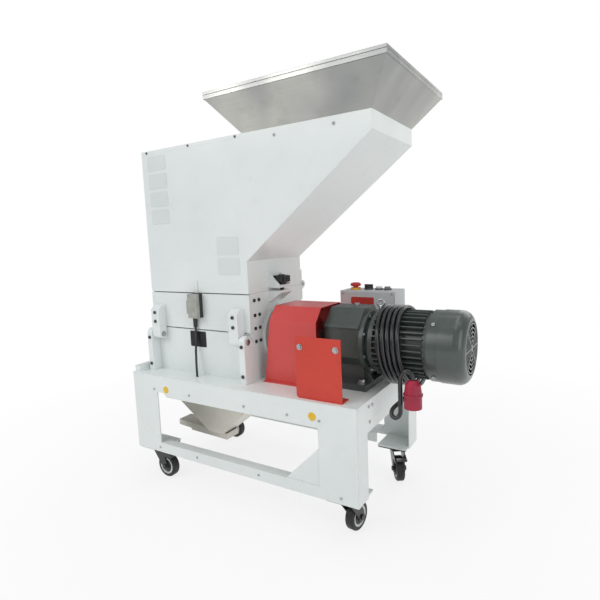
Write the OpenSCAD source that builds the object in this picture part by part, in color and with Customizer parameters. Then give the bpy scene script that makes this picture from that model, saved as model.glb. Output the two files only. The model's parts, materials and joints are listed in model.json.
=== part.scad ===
// Low speed plastics granulator: a wheeled sheet metal base carries a cutting chamber
// with a tilting hopper, a flange coupling under a guard, a foot mounted gear motor,
// a control box, a discharge chute and a power cord wound round the motor.
// Millimetres. X runs along the base to the motor end, Y runs from front to back, Z is up.
// Modules draw in base coordinates: X from the base's left end, Y from its front face,
// Z from the floor. place() moves them to the centre of the floor outline.

/* [Base frame] */
// Length of the base
base_l = 780; // [700:5:900]
// Depth of the base
base_d = 437; // [400:1:500]
// Height of the deck above the floor
deck_z = 353; // [330:1:420]
// Height of the front and rear aprons
apron_h = 65; // [45:1:85]
// Height of the side aprons
side_apron_h = 80; // [50:1:90]
// Width of a leg seen from the front
leg_w = 106; // [95:1:130]
// Depth of a front leg seen from the side
leg_front_d = 59; // [50:1:90]
// Depth of a rear leg seen from the side
leg_rear_d = 70; // [50:1:90]
// Height of the lower rails
rail_h = 31; // [20:1:45]
// Thickness of the base sheet
sheet_t = 3; // [2:0.5:4]

/* [Casters] */
// Diameter of a caster wheel
wheel_d = 75; // [60:1:90]
// Height of a caster from the floor to the base
caster_h = 105; // [100:1:125]
// Width of a caster tyre
tyre_w = 24; // [16:1:28]
// Side of a square caster plate
caster_plate = 86; // [70:1:90]
// Distance of the swivel axis behind the wheel axle
caster_trail = 30; // [20:1:36]
// Distance from the ends of the base to the swivel axes
caster_inset_x = 49; // [46:1:52]
// Distance from the front and back of the base to the swivel axes
caster_inset_y = 48; // [46:1:52]

/* [Cutting chamber] */
// Distance from the base's left end to the chamber
chamber_x = 34; // [28:1:60]
// Outer width of the chamber
chamber_w = 392; // [360:1:410]
// Distance from the base's front face to the chamber
chamber_y = 72; // [66:1:90]
// Outer depth of the chamber
chamber_d = 278; // [264:1:300]
// Height of the chamber above the deck
chamber_h = 251; // [230:1:300]
// Thickness of the chamber side plates
plate_t = 20; // [16:1:24]
// Thickness of the door and panels
panel_t = 8; // [6:0.5:10]
// Height of the fixed lower front panel
lower_panel_h = 137; // [122:1:140]

/* [Rotor] */
// Height of the shaft axis above the deck
shaft_h = 118; // [105:1:125]
// Diameter of the rotor shaft
shaft_d = 50; // [40:1:60]
// Outer diameter of the claw blades
claw_d = 206; // [180:1:216]
// Thickness of a claw blade
claw_t = 20; // [14:1:26]
// Number of claw blades
claw_n = 3; // [2:1:4]
// Outer diameter of the toothed rolls
roll_d = 144; // [120:1:150]
// Number of teeth round a roll
roll_teeth = 12; // [8:1:18]

/* [Hopper] */
// Height of the straight hopper neck
neck_h = 92; // [70:1:120]
// Height of the hopper above the chamber
hopper_h = 433; // [380:1:480]
// How far the hopper overhangs the chamber on the drive side
hopper_reach = 377; // [300:1:390]
// Height of the upright end wall below the funnel
hopper_end_h = 44; // [30:1:60]
// Thickness of the hopper sheet
hopper_t = 3; // [2:0.5:4]
// Height of the feed funnel
funnel_h = 100; // [80:1:130]
// How far the funnel flares to each side along the base
flare_x = 65; // [40:1:80]
// How far the funnel flares to the front and back
flare_y = 71; // [40:1:72]
// Height of the funnel rim
rim_h = 18; // [12:1:24]

/* [Drive] */
// Length of the gear housing
gear_l = 124; // [110:1:150]
// Distance from the base's left end to the gear housing
gear_x = 628; // [620:1:640]
// Width of the gear housing
gear_w = 150; // [130:1:164]
// Length of the finned motor housing
motor_l = 153; // [145:1:190]
// Diameter over the motor fins
motor_d = 176; // [150:1:182]
// Number of cooling fins
fin_n = 36; // [24:2:44]
// Diameter of the fan cowl
cowl_d = 184; // [160:1:196]
// Length of the fan cowl
cowl_l = 88; // [75:1:100]
// Width of the coupling guard along the shaft
guard_l = 172; // [150:1:178]
// Height of the coupling guard above the deck
guard_h = 214; // [196:1:230]

/* [Control box] */
// Width of the control box
box_w = 175; // [160:1:200]
// Depth of the control box
box_d = 88; // [70:1:96]
// Height of the control box
box_h = 190; // [160:1:200]
// Height of the control box's top above the deck
box_top = 236; // [225:1:240]

/* [Discharge] */
// Height of the chute's straight collar
chute_collar = 65; // [50:1:75]
// Width of the sloping outlet duct
duct_w = 56; // [46:1:60]

/* [Power cord] */
// Diameter of the power cord
cord_d = 11; // [9:0.5:12]
// Number of turns wound round the motor
cord_turns = 5; // [3:1:6]

/* [Hidden] */
$fn = 48;
over = 1;
run = 0.05;
fine = 0.02;

// Places shared by several pieces
chamber_z1 = deck_z + chamber_h;
chamber_x1 = chamber_x + chamber_w;
chamber_y1 = chamber_y + chamber_d;
inner_x0 = chamber_x + plate_t;
inner_x1 = chamber_x1 - plate_t;
inner_y0 = chamber_y + panel_t;
inner_y1 = chamber_y1 - panel_t;
axis_y = chamber_y + chamber_d / 2;
axis_z = deck_z + shaft_h;
motor_x0 = gear_x + gear_l;
motor_x1 = motor_x0 + motor_l;
cowl_x1 = motor_x1 + cowl_l;
deck_low = deck_z - sheet_t;
mid_x = cowl_x1 / 2;
mid_y = base_d / 2;

// Base details
upstand_w = 22;
upstand_h = 18;
upstand_in = 10;
notch_w = 26;
notch_rise = 12;
gusset_leg = 100;
gusset_t = 4;
foot_h = 5;
foot_side = 90;
screw_r = 3.2;
screw_h = 2;
frame_screw_in = 20;
apron_screw_share = [0.12, 0.31, 0.57, 0.75, 0.87];
rail_screw_share = [0.13, 0.33, 0.62, 0.94];
side_screw_y_share = [0.16, 0.21, 0.17];
side_screw_drop_share = [0.2, 0.22, 0.7];
rail_bolt_share = [0.25, 0.55, 0.68, 0.95];
rail_bolt_r = 6;
rail_bolt_h = 4;

// Caster details
top_plate_t = 4;
race_r = 22;
race_h = 9;
race_gap = 0.4;
stem_r = 6;
fork_t = 3;
fork_top_t = 5;
fork_gap = 3;
fork_foot_r = 12;
hub_r = 27;
ring_in_r = 21;
ring_h = 2;
hub_web_in = 6;
hub_boss_r = 11;
axle_r = 4;
axle_head_r = 7;
axle_head_h = 4;
tyre_round = 4;
pedal_t = 4;
pedal_l = 26;
pedal_r = 6;
pedal_pin_r = 2.5;
pedal_rise = 9;
pedal_pin_out = 28;
pedal_gap = 0.4;
swivel_turn = [0, 82, 0, -58];
plate_hole_in = 12;
pedal_pin_up = 1;

// Door hinge details
pin_r = 6;
knuckle_r = 17;
pin_y_in = 15;
arm_r = 14;
arm_w = 34;
arm_h = 70;
arm_gap = 2;
pin_drop = 22;
pin_proud = 3;
clip_r = 8.5;
clip_t = 1.5;
door_seam = 3;
door_gap_top = 2.6;
arm_screw_share = [0.28, 0.68];
cap_r = 5;
cap_h = 3;
socket_r = 2.5;
socket_d = 2;

// Chamber details
knife_t = 20;
knife_gap = 1.6;
knife_bevel = 5;
claw_side_gap = 2;
flange_r = 86;
flange_t = 12;
housing_r = 48;
housing_t = 20;
housing_bolts = 6;
housing_bolt_share = 0.8;
bore_gap = 1;
shaft_end_in = 4;
roll_tooth_h = 10;
roll_gap = 0.6;
claw_cut_share = 0.9;
claw_cut_r_share = 0.56;
claw_relief_share = 1.16;
claw_relief_r_share = 0.42;
claw_relief_turn = 128;
roll_back_share = 0.72;
roll_step_share = 0.3;
claw_core_share = 0.54;
plate_cap_in = 14;
plate_cap_step = 22;
plate_cap_up_share = [0.45, 0.6, 0.75, 0.92];
ear_cap_up_share = [0.16, 0.78];

// Hopper details
seat_gap = 0.3;
hinge_pin_r = 6;
hinge_r = 12;
hinge_y_out = 14;
hinge_w = 10;
hinge_ear = 10;
hinge_leaf_gap = 2;
hinge_leaf_t = 8;
hinge_side_gap = 0.5;
hinge_leaf_h = 48;
cover_t = 10;
mouth_l = 372;
cover_screw_share = [0.06, 0.5, 0.94];
cover_screw_drop = 5;
rim_t = 5;
rim_step = 7;
rim_groove = 1;
rim_lap = 0.5;
funnel_t = 2;

// Clamp details
lug_in = 95;
lug_up = 8;
lug_l = 66;
lug_out = 40;
lug_t = 8;
lug_web_h = 32;
lug_web_t = 6;
lower_lug_h = 32;
rod_r = 6;
rod_out = 27;
rod_share = 0.5;
rod_gap = 1.5;
rod_slot = 4;
rod_tip = 2;
knob_r = 25;
knob_h = 18;
knob_lobes = 6;
knob_lobe_r = 9;
knob_hub_r = 13;
knob_hub_h = 8;
knob_cap_r = 10;
knob_cap_h = 3;

// Interlock details
switch_x = 214;
switch_low = 177;
switch_w = 36;
switch_d = 26;
switch_h = 72;
switch_side_w = 9;
switch_side_h = 40;
boot_r = 6.5;
boot_h = 30;
key_w = 10;
key_t = 4;
key_in = 12;
key_gap = 1.5;
key_h = 38;
lead_d = 7;

// Coupling, guard and shield details
coupling_x = 490;
hub_len = 38;
hub_rad = 42;
disc_rad = 60;
disc_t = 14;
spider_t = 12;
spider_in = 3;
guard_x = 450;
guard_t = 2;
guard_front = 26;
guard_chamfer_y = 32;
guard_chamfer_z = 38;
guard_top_w = 110;
guard_back_w = 84;
guard_skew = 24;
guard_foot = 12;
guard_rivet_share = [0.2, 0.8];
shield_x = 608;
shield_w = 128;
shield_h = 158;
shield_y = 14;
shield_t = 3;
shield_round = 10;
shield_foot_d = 34;
shield_foot_w = 28;
shield_cap_in = 14;
shield_cap_drop = 26;
washer_r = 8;
washer_t = 1.5;

// Gear housing and motor details
gear_foot_t = 16;
gear_foot_w = 176;
foot_in = 2;
foot_t = 8;
foot_rib = 14;
gear_shaft_in = 6;
gear_web_w = 100;
gear_top = 92;
gear_chamfer = 42;
gear_ledge_z = 44;
gear_ledge_t = 8;
gear_ledge_out = 4;
gear_low = 60;
boss_r = 44;
boss_l = 30;
gear_shaft_r = 20;
adapter_r = 84;
adapter_l = 24;
adapter_t = 12;
adapter_neck_r = 68;
adapter_bolts = 8;
adapter_bolt_share = 0.9;
foot_bolt_r = 9;
foot_bolt_h = 9;
foot_washer_r = 13;
foot_washer_t = 2;
foot_bolt_in = 20;
breather_r = 8;
breather_h = 8;
eye_in = 8;
eye_r = 12;
eye_t = 7;
eye_stem_r = 6;
eye_stem_h = 11;
barrel_r = 72;
fin_t = 3;
bell_r = 81;
bell_l = 12;
fan_r = 70;
fan_l = 26;
fan_hub_r = 18;
fan_blades = 7;
fan_blade_t = 3;
fan_gap = 16;
motor_shaft_r = 11;
motor_shaft_in = 20;
cowl_seat = 10;
cowl_t = 3;
cowl_step = 24;
cowl_step_r = 3;
cowl_round = 26;
cowl_arc_steps = 6;
grille_rings = 5;
grille_bar = 3;
grille_t = 3;
grille_spokes = 8;
grille_hub_r = 9;
cowl_screws = 4;
cowl_screw_in = 12;

// Control box details
box_x = 579;
box_y = 330;
lid_t = 14;
lid_gap = 0.3;
lid_edge = 3;
lid_screw_in = 9;
lid_screw_r = 3.5;
bracket_t = 4;
bracket_w = 120;
bracket_foot = 36;
bracket_lap = 90;
stop_x_share = 0.19;
select_x_share = 0.44;
start_x_share = 0.63;
halt_x_share = 0.785;
button_y_share = 0.5;
stop_r = 17;
stop_h = 11;
stop_neck_r = 8;
stop_base_r = 15;
stop_base_h = 6;
stop_round = 3;
stop_travel = 4;
select_r = 13;
select_h = 8;
select_base_h = 4;
select_base_r = 14;
grip_w = 6;
grip_h = 4;
push_r = 9;
push_h = 5;
push_base_r = 12;
push_base_h = 5;
push_travel = 2.5;
stem_in = 3;
select_stem_r = 5;

// Chute details
chute_in_x = 12;
chute_out_x = 10;
chute_in_y = 20;
chute_t = 2;
chute_side = 3;
chute_flange = 14;
chute_lap = 0.5;
chute_mouth_x0 = 182;
chute_mouth_x1 = 243;
chute_low_z = 136;
duct_x0 = 42;
duct_step_x = 98;
duct_x1 = 254;
duct_y = 168;
duct_top_z0 = 152;
duct_top_z1 = 139;
duct_low_z0 = 134;
duct_low_z1 = 124;
duct_low_z2 = 119;
duct_step = 6;
duct_t = 2;

// Cord details; the points of its route are round numbers in base coordinates
gland_r = 10;
gland_l = 10;
gland_hex_r = 12;
gland_hex_l = 6;
cord_sides = 8;
lead_sides = 8;
wind_sides = 6;
wind_rings = 24;
wind_y = 211;
wind_z = 466;
wind_ry = 97;
wind_rz = 99;
wind_x = 786;
wind_pitch = 13;
wind_lean = 16;
feed_points = [[785, 374, 430], [797, 371, 428], [803, 362, 420], [804, 348, 408],
    [802, 330, 396], [799, 308, 385], [799, 284, 375], [801, 258, 369]];
tail_points = [[866, 184, 366], [862, 162, 361], [852, 138, 352], [841, 116, 341], [833, 101, 333],
    [830, 93, 325], [833, 88, 317], [841, 86, 313], [849, 88, 317], [853, 91, 326], [853, 92, 340],
    [853, 92, 370], [853, 92, 400], [855, 92, 416], [861, 92, 427], [869, 92, 431], [877, 92, 429],
    [883, 92, 422], [884, 92, 416]];
lead_points = [[222, 65, 471], [222, 64.4, 462], [223, 62, 450], [225, 57, 430],
    [229, 52, 410], [233, 47, 390], [236, 44, 370], [236, 44, 350], [239, 44, 342], [248, 44, 338],
    [570, 44, 338], [582, 49, 338], [587, 61, 338], [587, 367, 338], [587, 375, 342],
    [587, 379, 350], [587, 379, 389]];
lead_holes = [[236, 44], [587, 379]];
lead_hole_gap = 0.5;
plug_x = 884;
plug_y = 92;
plug_top = 411;
plug_r = 21;
plug_l = 68;
plug_skirt_l = 30;
plug_collar_r = 23;
plug_collar_l = 5;
plug_neck_r = 12;
plug_neck_l = 10;
plug_wall = 3;
plug_socket = 24;
plug_pins = 5;
plug_pin_r = 2.4;
plug_pin_ring = 11;

// Shared shapes
module place()
    translate([-mid_x, -mid_y, 0]) children();

module xcyl(r, l)
    rotate([0, 90, 0]) cylinder(r = r, h = l);

module ycyl(r, l)
    rotate([-90, 0, 0]) cylinder(r = r, h = l);

module block(x0, x1, y0, y1, z0, z1)
    translate([x0, y0, z0]) cube([x1 - x0, y1 - y0, z1 - z0]);

// A profile drawn in Y and Z, extruded along X
module along_x(x0, x1)
    translate([x0, 0, 0]) rotate([90, 0, 90]) linear_extrude(x1 - x0) children();

// A profile drawn in X and Z, extruded along Y
module along_y(y0, y1)
    translate([0, y1, 0]) rotate([90, 0, 0]) linear_extrude(y1 - y0) children();

// A four sided taper between two level rectangles given as [x0, x1, y0, y1]
module taper(low, high, z0, z1)
    intersection() {
        along_y(min(low[2], high[2]), max(low[3], high[3]))
            polygon([[low[0], z0], [low[1], z0], [high[1], z1], [high[0], z1]]);
        along_x(min(low[0], high[0]), max(low[1], high[1]))
            polygon([[low[2], z0], [low[3], z0], [high[3], z1], [high[2], z1]]);
    }

function inset(r, w) = [r[0] + w, r[1] - w, r[2] + w, r[3] - w];
function level(low, high, z0, z1, z) =
    [for (i = [0 : 3]) low[i] + (high[i] - low[i]) * (z - z0) / (z1 - z0)];

module taper_shell(low, high, z0, z1, w)
    difference() {
        taper(low, high, z0, z1);
        taper(inset(level(low, high, z0, z1, z0 - over), w),
            inset(level(low, high, z0, z1, z1 + over), w), z0 - over, z1 + over);
    }

// A socket head screw standing on a face, head towards the viewer of that face
module cap_screw(r = cap_r)
    difference() {
        cylinder(r = r, h = cap_h);
        translate([0, 0, cap_h - socket_d]) cylinder(r = socket_r, h = socket_d + over);
    }

function unit(v) = v / norm(v);
function tangents(p) = [for (i = [0 : len(p) - 1])
    i == 0 ? unit(p[1] - p[0]) :
    i == len(p) - 1 ? unit(p[i] - p[i - 1]) :
    unit(unit(p[i + 1] - p[i]) + unit(p[i] - p[i - 1]))];
function square_to(t, n) = unit(n - (n * t) * t);
function normals(t, n0) = [for (i = 0, n = square_to(t[0], n0); i < len(t);
    i = i + 1, n = i < len(t) ? square_to(t[i], n) : n) n];

// A round tube through points, closed at both ends, all faces triangles
module tube(p, r, sides, n0) {
    t = tangents(p);
    n = normals(t, n0);
    count = len(p);
    rings = [for (i = [0 : count - 1], k = [0 : sides - 1])
        let (b = cross(t[i], n[i]), a = 360 * k / sides)
        p[i] + r * (cos(a) * n[i] + sin(a) * b)];
    walls = [for (i = [0 : count - 2], k = [0 : sides - 1])
        let (a = i * sides + k, b = i * sides + (k + 1) % sides)
        each [[a, a + sides, b + sides], [a, b + sides, b]]];
    first = [for (k = [1 : sides - 2]) [0, k, k + 1]];
    base = (count - 1) * sides;
    last = [for (k = [1 : sides - 2]) [base, base + k + 1, base + k]];
    polyhedron(points = rings, faces = concat(walls, first, last), convexity = 10);
}

// Base frame
module apron_screws(y)
    for (s = apron_screw_share)
        translate([s * base_l, y, deck_z - apron_h + frame_screw_in]) ycyl(screw_r, screw_h);

module deck() color("whitesmoke") place() {
    difference() {
        block(0, base_l, 0, base_d, deck_low, deck_z);
        block(inner_x0, inner_x1, chute_y0 + chute_t, chute_y1 - chute_t, deck_low - over, deck_z + over);
        for (p = lead_holes) translate([p[0], p[1], deck_low - over])
            cylinder(r = lead_d / 2 + lead_hole_gap, h = sheet_t + 2 * over);
    }
    block(0, upstand_w, upstand_in, base_d - upstand_in, deck_z, deck_z + upstand_h);
}

module front_frame() color("whitesmoke") place() {
    window_top = deck_z - apron_h;
    window_low = caster_h + rail_h;
    difference() {
        block(0, base_l, 0, sheet_t, caster_h, deck_low);
        along_y(-over, sheet_t + over) polygon([
            [leg_w, window_low], [base_l - leg_w, window_low], [base_l - leg_w, window_top],
            [leg_w + notch_w + notch_rise, window_top], [leg_w + notch_w, window_top + notch_rise],
            [leg_w, window_top + notch_rise]]);
    }
    block(leg_w, base_l - leg_w, sheet_t, leg_front_d / 2, window_low - sheet_t, window_low);
}

module rear_frame() color("whitesmoke") place() {
    window_low = caster_h + rail_h;
    difference() {
        block(0, base_l, base_d - sheet_t, base_d, caster_h, deck_low);
        block(leg_w, base_l - leg_w, base_d - sheet_t - over, base_d + over,
            window_low, deck_z - apron_h);
    }
    block(leg_w, base_l - leg_w, base_d - leg_rear_d, base_d - sheet_t,
        window_low - sheet_t, window_low);
    block(leg_w, base_l - leg_w, base_d - leg_rear_d, base_d - leg_rear_d + sheet_t,
        caster_h, window_low - sheet_t);
}

module side_frame(x)
    difference() {
        block(x, x + sheet_t, sheet_t, base_d - sheet_t, caster_h, deck_low);
        block(x - over, x + sheet_t + over, leg_front_d, base_d - leg_rear_d,
            caster_h - over, deck_z - side_apron_h);
    }

module side_frames() color("whitesmoke") place() {
    side_frame(0);
    side_frame(base_l - sheet_t);
}

module frame_brackets() color("gainsboro") place() {
    for (x = [sheet_t, base_l - sheet_t - foot_side], y = [sheet_t, base_d - sheet_t - foot_side])
        block(x, x + foot_side, y, y + foot_side, caster_h, caster_h + foot_h);
    gx = base_l - leg_w;
    gz = caster_h + rail_h;
    along_y(sheet_t, sheet_t + gusset_t)
        polygon([[gx + gusset_t, gz], [gx - gusset_leg, gz], [gx, gz + gusset_leg],
            [gx + gusset_t, gz + gusset_leg]]);
    bx = box_x + (box_w - bracket_w) / 2;
    block(bx, bx + bracket_w, body_y1, body_y1 + bracket_t, deck_z, box_z0 + bracket_lap);
    block(bx, bx + bracket_w, body_y1 - bracket_foot, body_y1 + fine, deck_z, deck_z + bracket_t);
}

module frame_screws() color("gray") place() {
    apron_screws(-screw_h);
    apron_screws(base_d);
    for (s = rail_screw_share, y = [-screw_h, base_d])
        translate([s * base_l, y, caster_h + rail_h / 2]) ycyl(screw_r, screw_h);
    for (i = [0 : len(side_screw_y_share) - 1])
        translate([base_l, side_screw_y_share[i] * base_d,
            deck_z - side_screw_drop_share[i] * side_apron_h]) xcyl(screw_r + screw_h / 2, screw_h);
    for (s = rail_bolt_share)
        translate([leg_w + s * (base_l - 2 * leg_w), base_d - leg_rear_d / 2, caster_h + rail_h])
            cylinder(r = rail_bolt_r, h = rail_bolt_h);
    guard_screws();
}

// Casters
caster_x = [caster_inset_x, base_l - caster_inset_x, caster_inset_x, base_l - caster_inset_x];
caster_y = [caster_inset_y, caster_inset_y, base_d - caster_inset_y, base_d - caster_inset_y];
wheel_r = wheel_d / 2;
race_z = caster_h - top_plate_t - race_h;
fork_z = race_z - race_gap;
cheek_y = tyre_w / 2 + fork_gap;
pedal_x = caster_trail + pedal_pin_out;
pedal_z = wheel_d + pedal_pin_up;

module at_caster(i)
    translate([caster_x[i], caster_y[i], 0]) rotate([0, 0, swivel_turn[i]]) children();

module caster_plates() color("dimgray") place() {
    for (i = [0 : 3]) translate([caster_x[i], caster_y[i], 0]) {
        difference() {
            union() {
                translate([-caster_plate / 2, -caster_plate / 2, caster_h - top_plate_t])
                    cube([caster_plate, caster_plate, top_plate_t]);
                translate([0, 0, race_z]) cylinder(r = race_r, h = race_h + fine);
            }
            translate([0, 0, race_z - over]) cylinder(r = stem_r + run, h = race_h + over);
            for (x = [-1, 1], y = [-1, 1])
                translate([x * (caster_plate / 2 - plate_hole_in), y * (caster_plate / 2 - plate_hole_in),
                    caster_h - top_plate_t - over])
                    cylinder(r = screw_r, h = top_plate_t + 2 * over);
        }
    }
}

module cheek(brake)
    along_y(-fork_t / 2, fork_t / 2) {
        polygon([[-race_r, fork_z], [race_r, fork_z], [caster_trail + fork_foot_r, wheel_r],
            [caster_trail - fork_foot_r, wheel_r]]);
        translate([caster_trail, wheel_r]) circle(r = fork_foot_r);
        if (brake) {
            polygon([[0, fork_z], [race_r, fork_z], [pedal_x, pedal_z + pedal_r],
                [pedal_x, pedal_z - pedal_r], [race_r, pedal_z - pedal_r]]);
            translate([pedal_x, pedal_z]) circle(r = pedal_r);
        }
    }

module caster_fork(i, brake) at_caster(i)
    difference() {
        union() {
            for (s = [-1, 1])
                translate([0, s * (cheek_y + fork_t / 2), 0]) cheek(brake);
            translate([0, 0, fork_z - fork_top_t]) cylinder(r = race_r, h = fork_top_t);
            translate([0, -cheek_y - fork_t / 2, fork_z - fork_top_t])
                cube([race_r, 2 * cheek_y + fork_t, fork_top_t]);
            translate([0, 0, fork_z - fork_top_t]) cylinder(r = stem_r, h = fork_top_t + race_h);
            translate([caster_trail, -cheek_y - fork_t - axle_head_h, wheel_r])
                ycyl(axle_head_r, axle_head_h + fine);
            translate([caster_trail, cheek_y + fork_t - fine, wheel_r])
                ycyl(axle_head_r, axle_head_h + fine);
            translate([caster_trail, -cheek_y - fork_t, wheel_r])
                ycyl(axle_r, 2 * (cheek_y + fork_t));
        }
        if (brake)
            translate([pedal_x, -cheek_y - fork_t - over, pedal_z])
                ycyl(pedal_pin_r + run, 2 * (cheek_y + fork_t + over));
    }

module caster_wheel(i) at_caster(i)
    translate([caster_trail, 0, wheel_r]) rotate([90, 0, 0]) {
        half = tyre_w / 2;
        rotate_extrude($fn = 64) polygon([
            [axle_r + run, -half - ring_h / 2], [hub_boss_r, -half - ring_h / 2],
            [hub_boss_r, -half + hub_web_in], [ring_in_r, -half + hub_web_in],
            [ring_in_r, -half + ring_h / 2], [hub_r, -half + ring_h / 2], [hub_r, -half],
            [wheel_r - tyre_round, -half], [wheel_r - tyre_round / 4, -half + tyre_round / 2],
            [wheel_r, -half + tyre_round], [wheel_r, half - tyre_round],
            [wheel_r - tyre_round / 4, half - tyre_round / 2], [wheel_r - tyre_round, half],
            [hub_r, half], [hub_r, half - ring_h / 2], [ring_in_r, half - ring_h / 2],
            [ring_in_r, half - hub_web_in], [hub_boss_r, half - hub_web_in],
            [hub_boss_r, half + ring_h / 2], [axle_r + run, half + ring_h / 2]]);
    }

module brake_pedal(i) at_caster(i) {
    w = cheek_y - pedal_gap;
    along_y(-w, w) {
        translate([pedal_x, pedal_z]) circle(r = pedal_r);
        polygon([[pedal_x, pedal_z + pedal_r - pedal_t], [pedal_x + pedal_l, pedal_z + pedal_rise],
            [pedal_x + pedal_l, pedal_z + pedal_rise + pedal_t], [pedal_x, pedal_z + pedal_r]]);
    }
    translate([pedal_x, -cheek_y - fork_t - pedal_gap, pedal_z])
        ycyl(pedal_pin_r, 2 * (cheek_y + fork_t + pedal_gap));
}

module caster_fork_fl() color("black") place() caster_fork(0, true);
module caster_fork_fr() color("black") place() caster_fork(1, false);
module caster_fork_bl() color("black") place() caster_fork(2, false);
module caster_fork_br() color("black") place() caster_fork(3, true);
module caster_wheel_fl() color("dimgray") place() caster_wheel(0);
module caster_wheel_fr() color("dimgray") place() caster_wheel(1);
module caster_wheel_bl() color("dimgray") place() caster_wheel(2);
module caster_wheel_br() color("dimgray") place() caster_wheel(3);
module brake_pedal_fl() color("black") place() brake_pedal(0);
module brake_pedal_br() color("black") place() brake_pedal(3);

// Cutting chamber
pin_y = chamber_y - pin_y_in;
door_z0 = deck_z + lower_panel_h + door_seam;
door_z1 = chamber_z1 - door_gap_top;
pin_z = door_z0 - pin_drop;
shaft_r = shaft_d / 2;
plate_caps_y = [inner_y0 + plate_cap_in, inner_y0 + plate_cap_in + plate_cap_step];

module side_plate(x)
    difference() {
        along_x(x, x + plate_t) {
            polygon([[pin_y - knuckle_r, deck_z], [chamber_y1, deck_z], [chamber_y1, chamber_z1],
                [inner_y0, chamber_z1], [inner_y0, pin_z], [pin_y - knuckle_r, pin_z]]);
            translate([pin_y, pin_z]) circle(r = knuckle_r);
        }
        translate([x - over, axis_y, axis_z]) xcyl(shaft_r + bore_gap, plate_t + 2 * over);
        translate([x - over, pin_y, pin_z]) xcyl(pin_r + fine, plate_t + 2 * over);
    }

module side_plate_left() color("white") place() side_plate(chamber_x);

rod_x = chamber_x1 + rod_out;
rod_y = chamber_y + lug_in + rod_share * lug_l;

// A flat lug with two webs, its plate between z and z + lug_t, webs up or down
module lug(z, web_z0, web_z1) {
    y0 = chamber_y + lug_in;
    block(chamber_x1, chamber_x1 + lug_out, y0, y0 + lug_l, z, z + lug_t);
    for (y = [y0, y0 + lug_l - lug_web_t])
        along_y(y, y + lug_web_t)
            polygon([[chamber_x1, web_z0], [chamber_x1, web_z1],
                web_z1 > z + lug_t ? [chamber_x1 + lug_t, web_z1] : [chamber_x1 + lug_out, web_z1],
                web_z1 > z + lug_t ? [chamber_x1 + lug_out, web_z0] : [chamber_x1 + lug_t, web_z0]]);
}

module side_plate_right() color("white") place() {
    side_plate(inner_x1);
    difference() {
        lug(chamber_z1 - lug_t, chamber_z1 - lower_lug_h, chamber_z1 - lug_t + fine);
        for (y = [rod_y - rod_slot / 2, rod_y + rod_slot / 2])
            translate([rod_x, y, chamber_z1 - lug_t - over])
                cylinder(r = rod_r + rod_gap, h = lug_t + 2 * over);
        block(rod_x - rod_r - rod_gap, rod_x + rod_r + rod_gap, rod_y - rod_slot / 2,
            rod_y + rod_slot / 2, chamber_z1 - lug_t - over, chamber_z1 + over);
    }
}

hinge_y = chamber_y1 + hinge_y_out;
hinge_z = chamber_z1;
hinge_x = [chamber_x, chamber_x1 - 2 * hinge_ear - hinge_w];

// Outer ears or the middle knuckle of a rear hinge, with the leaf on its carrier
module hinge_part(x, fixed) {
    y0 = chamber_y1;
    leaf = hinge_r + hinge_leaf_gap;
    up = fixed ? -1 : 1;
    w = 2 * hinge_ear + hinge_w;
    xs = fixed ? [[x, x + hinge_ear], [x + w - hinge_ear, x + w]] :
        [[x + hinge_ear + hinge_side_gap, x + w - hinge_ear - hinge_side_gap]];
    difference() {
        union() {
            block(x, x + w, y0, y0 + hinge_leaf_t, min(hinge_z + up * leaf, hinge_z + up * hinge_leaf_h),
                max(hinge_z + up * leaf, hinge_z + up * hinge_leaf_h));
            for (s = xs) {
                translate([s[0], hinge_y, hinge_z]) xcyl(hinge_r, s[1] - s[0]);
                block(s[0], s[1], y0 + seat_gap, hinge_y, min(hinge_z, hinge_z + up * (leaf + over)),
                    max(hinge_z, hinge_z + up * (leaf + over)));
            }
        }
        translate([x - over, hinge_y, hinge_z]) xcyl(hinge_pin_r + (fixed ? fine : run), w + 2 * over);
        if (!fixed)
            block(x - over, x + w + over, y0 - over, hinge_y, hinge_z - hinge_r - over, hinge_z + seat_gap);
    }
}

module rear_panel() color("white") place() {
    block(inner_x0 + fine, inner_x1 - fine, inner_y1, chamber_y1, deck_z, chamber_z1);
    for (x = hinge_x) hinge_part(x, true);
}

module lower_panel() color("white") place()
    block(inner_x0, inner_x1, chamber_y, inner_y0, deck_z, deck_z + lower_panel_h);

module front_door() color("white") place()
    block(chamber_x, chamber_x1, chamber_y, inner_y0, door_z0, door_z1);

arm_x = [inner_x0 + arm_gap, inner_x1 - arm_gap - arm_w];

module hinge_arms() color("white") place()
    for (x = arm_x)
        difference() {
            along_x(x, x + arm_w) {
                translate([pin_y, pin_z]) circle(r = arm_r);
                polygon([[pin_y - arm_r, pin_z], [pin_y + arm_r, pin_z], [pin_y + arm_r, door_z0],
                    [chamber_y, door_z0], [chamber_y, door_z0 + arm_h],
                    [pin_y, door_z0 + arm_h], [pin_y - arm_r, door_z0 + arm_h - arm_r]]);
            }
            translate([x - over, pin_y, pin_z]) xcyl(pin_r + run, arm_w + 2 * over);
        }

module door_screws() color("black") place()
    for (x = arm_x, s = arm_screw_share)
        translate([x + arm_w / 2, pin_y - arm_r, door_z0 + s * arm_h]) rotate([90, 0, 0]) cap_screw();

module hinge_pins() color("silver") place() {
    translate([chamber_x - pin_proud, pin_y, pin_z])
        xcyl(pin_r, arm_x[0] + arm_w + 2 * arm_gap - chamber_x + pin_proud);
    translate([arm_x[0] + arm_w + seat_gap, pin_y, pin_z]) xcyl(clip_r, clip_t);
    translate([arm_x[1] - 2 * arm_gap, pin_y, pin_z])
        xcyl(pin_r, chamber_x1 + pin_proud - arm_x[1] + 2 * arm_gap);
    translate([chamber_x1, pin_y, pin_z]) xcyl(clip_r, clip_t);
    for (x = hinge_x)
        translate([x - clip_t, hinge_y, hinge_z]) xcyl(hinge_pin_r, 2 * (hinge_ear + clip_t) + hinge_w);
}

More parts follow.
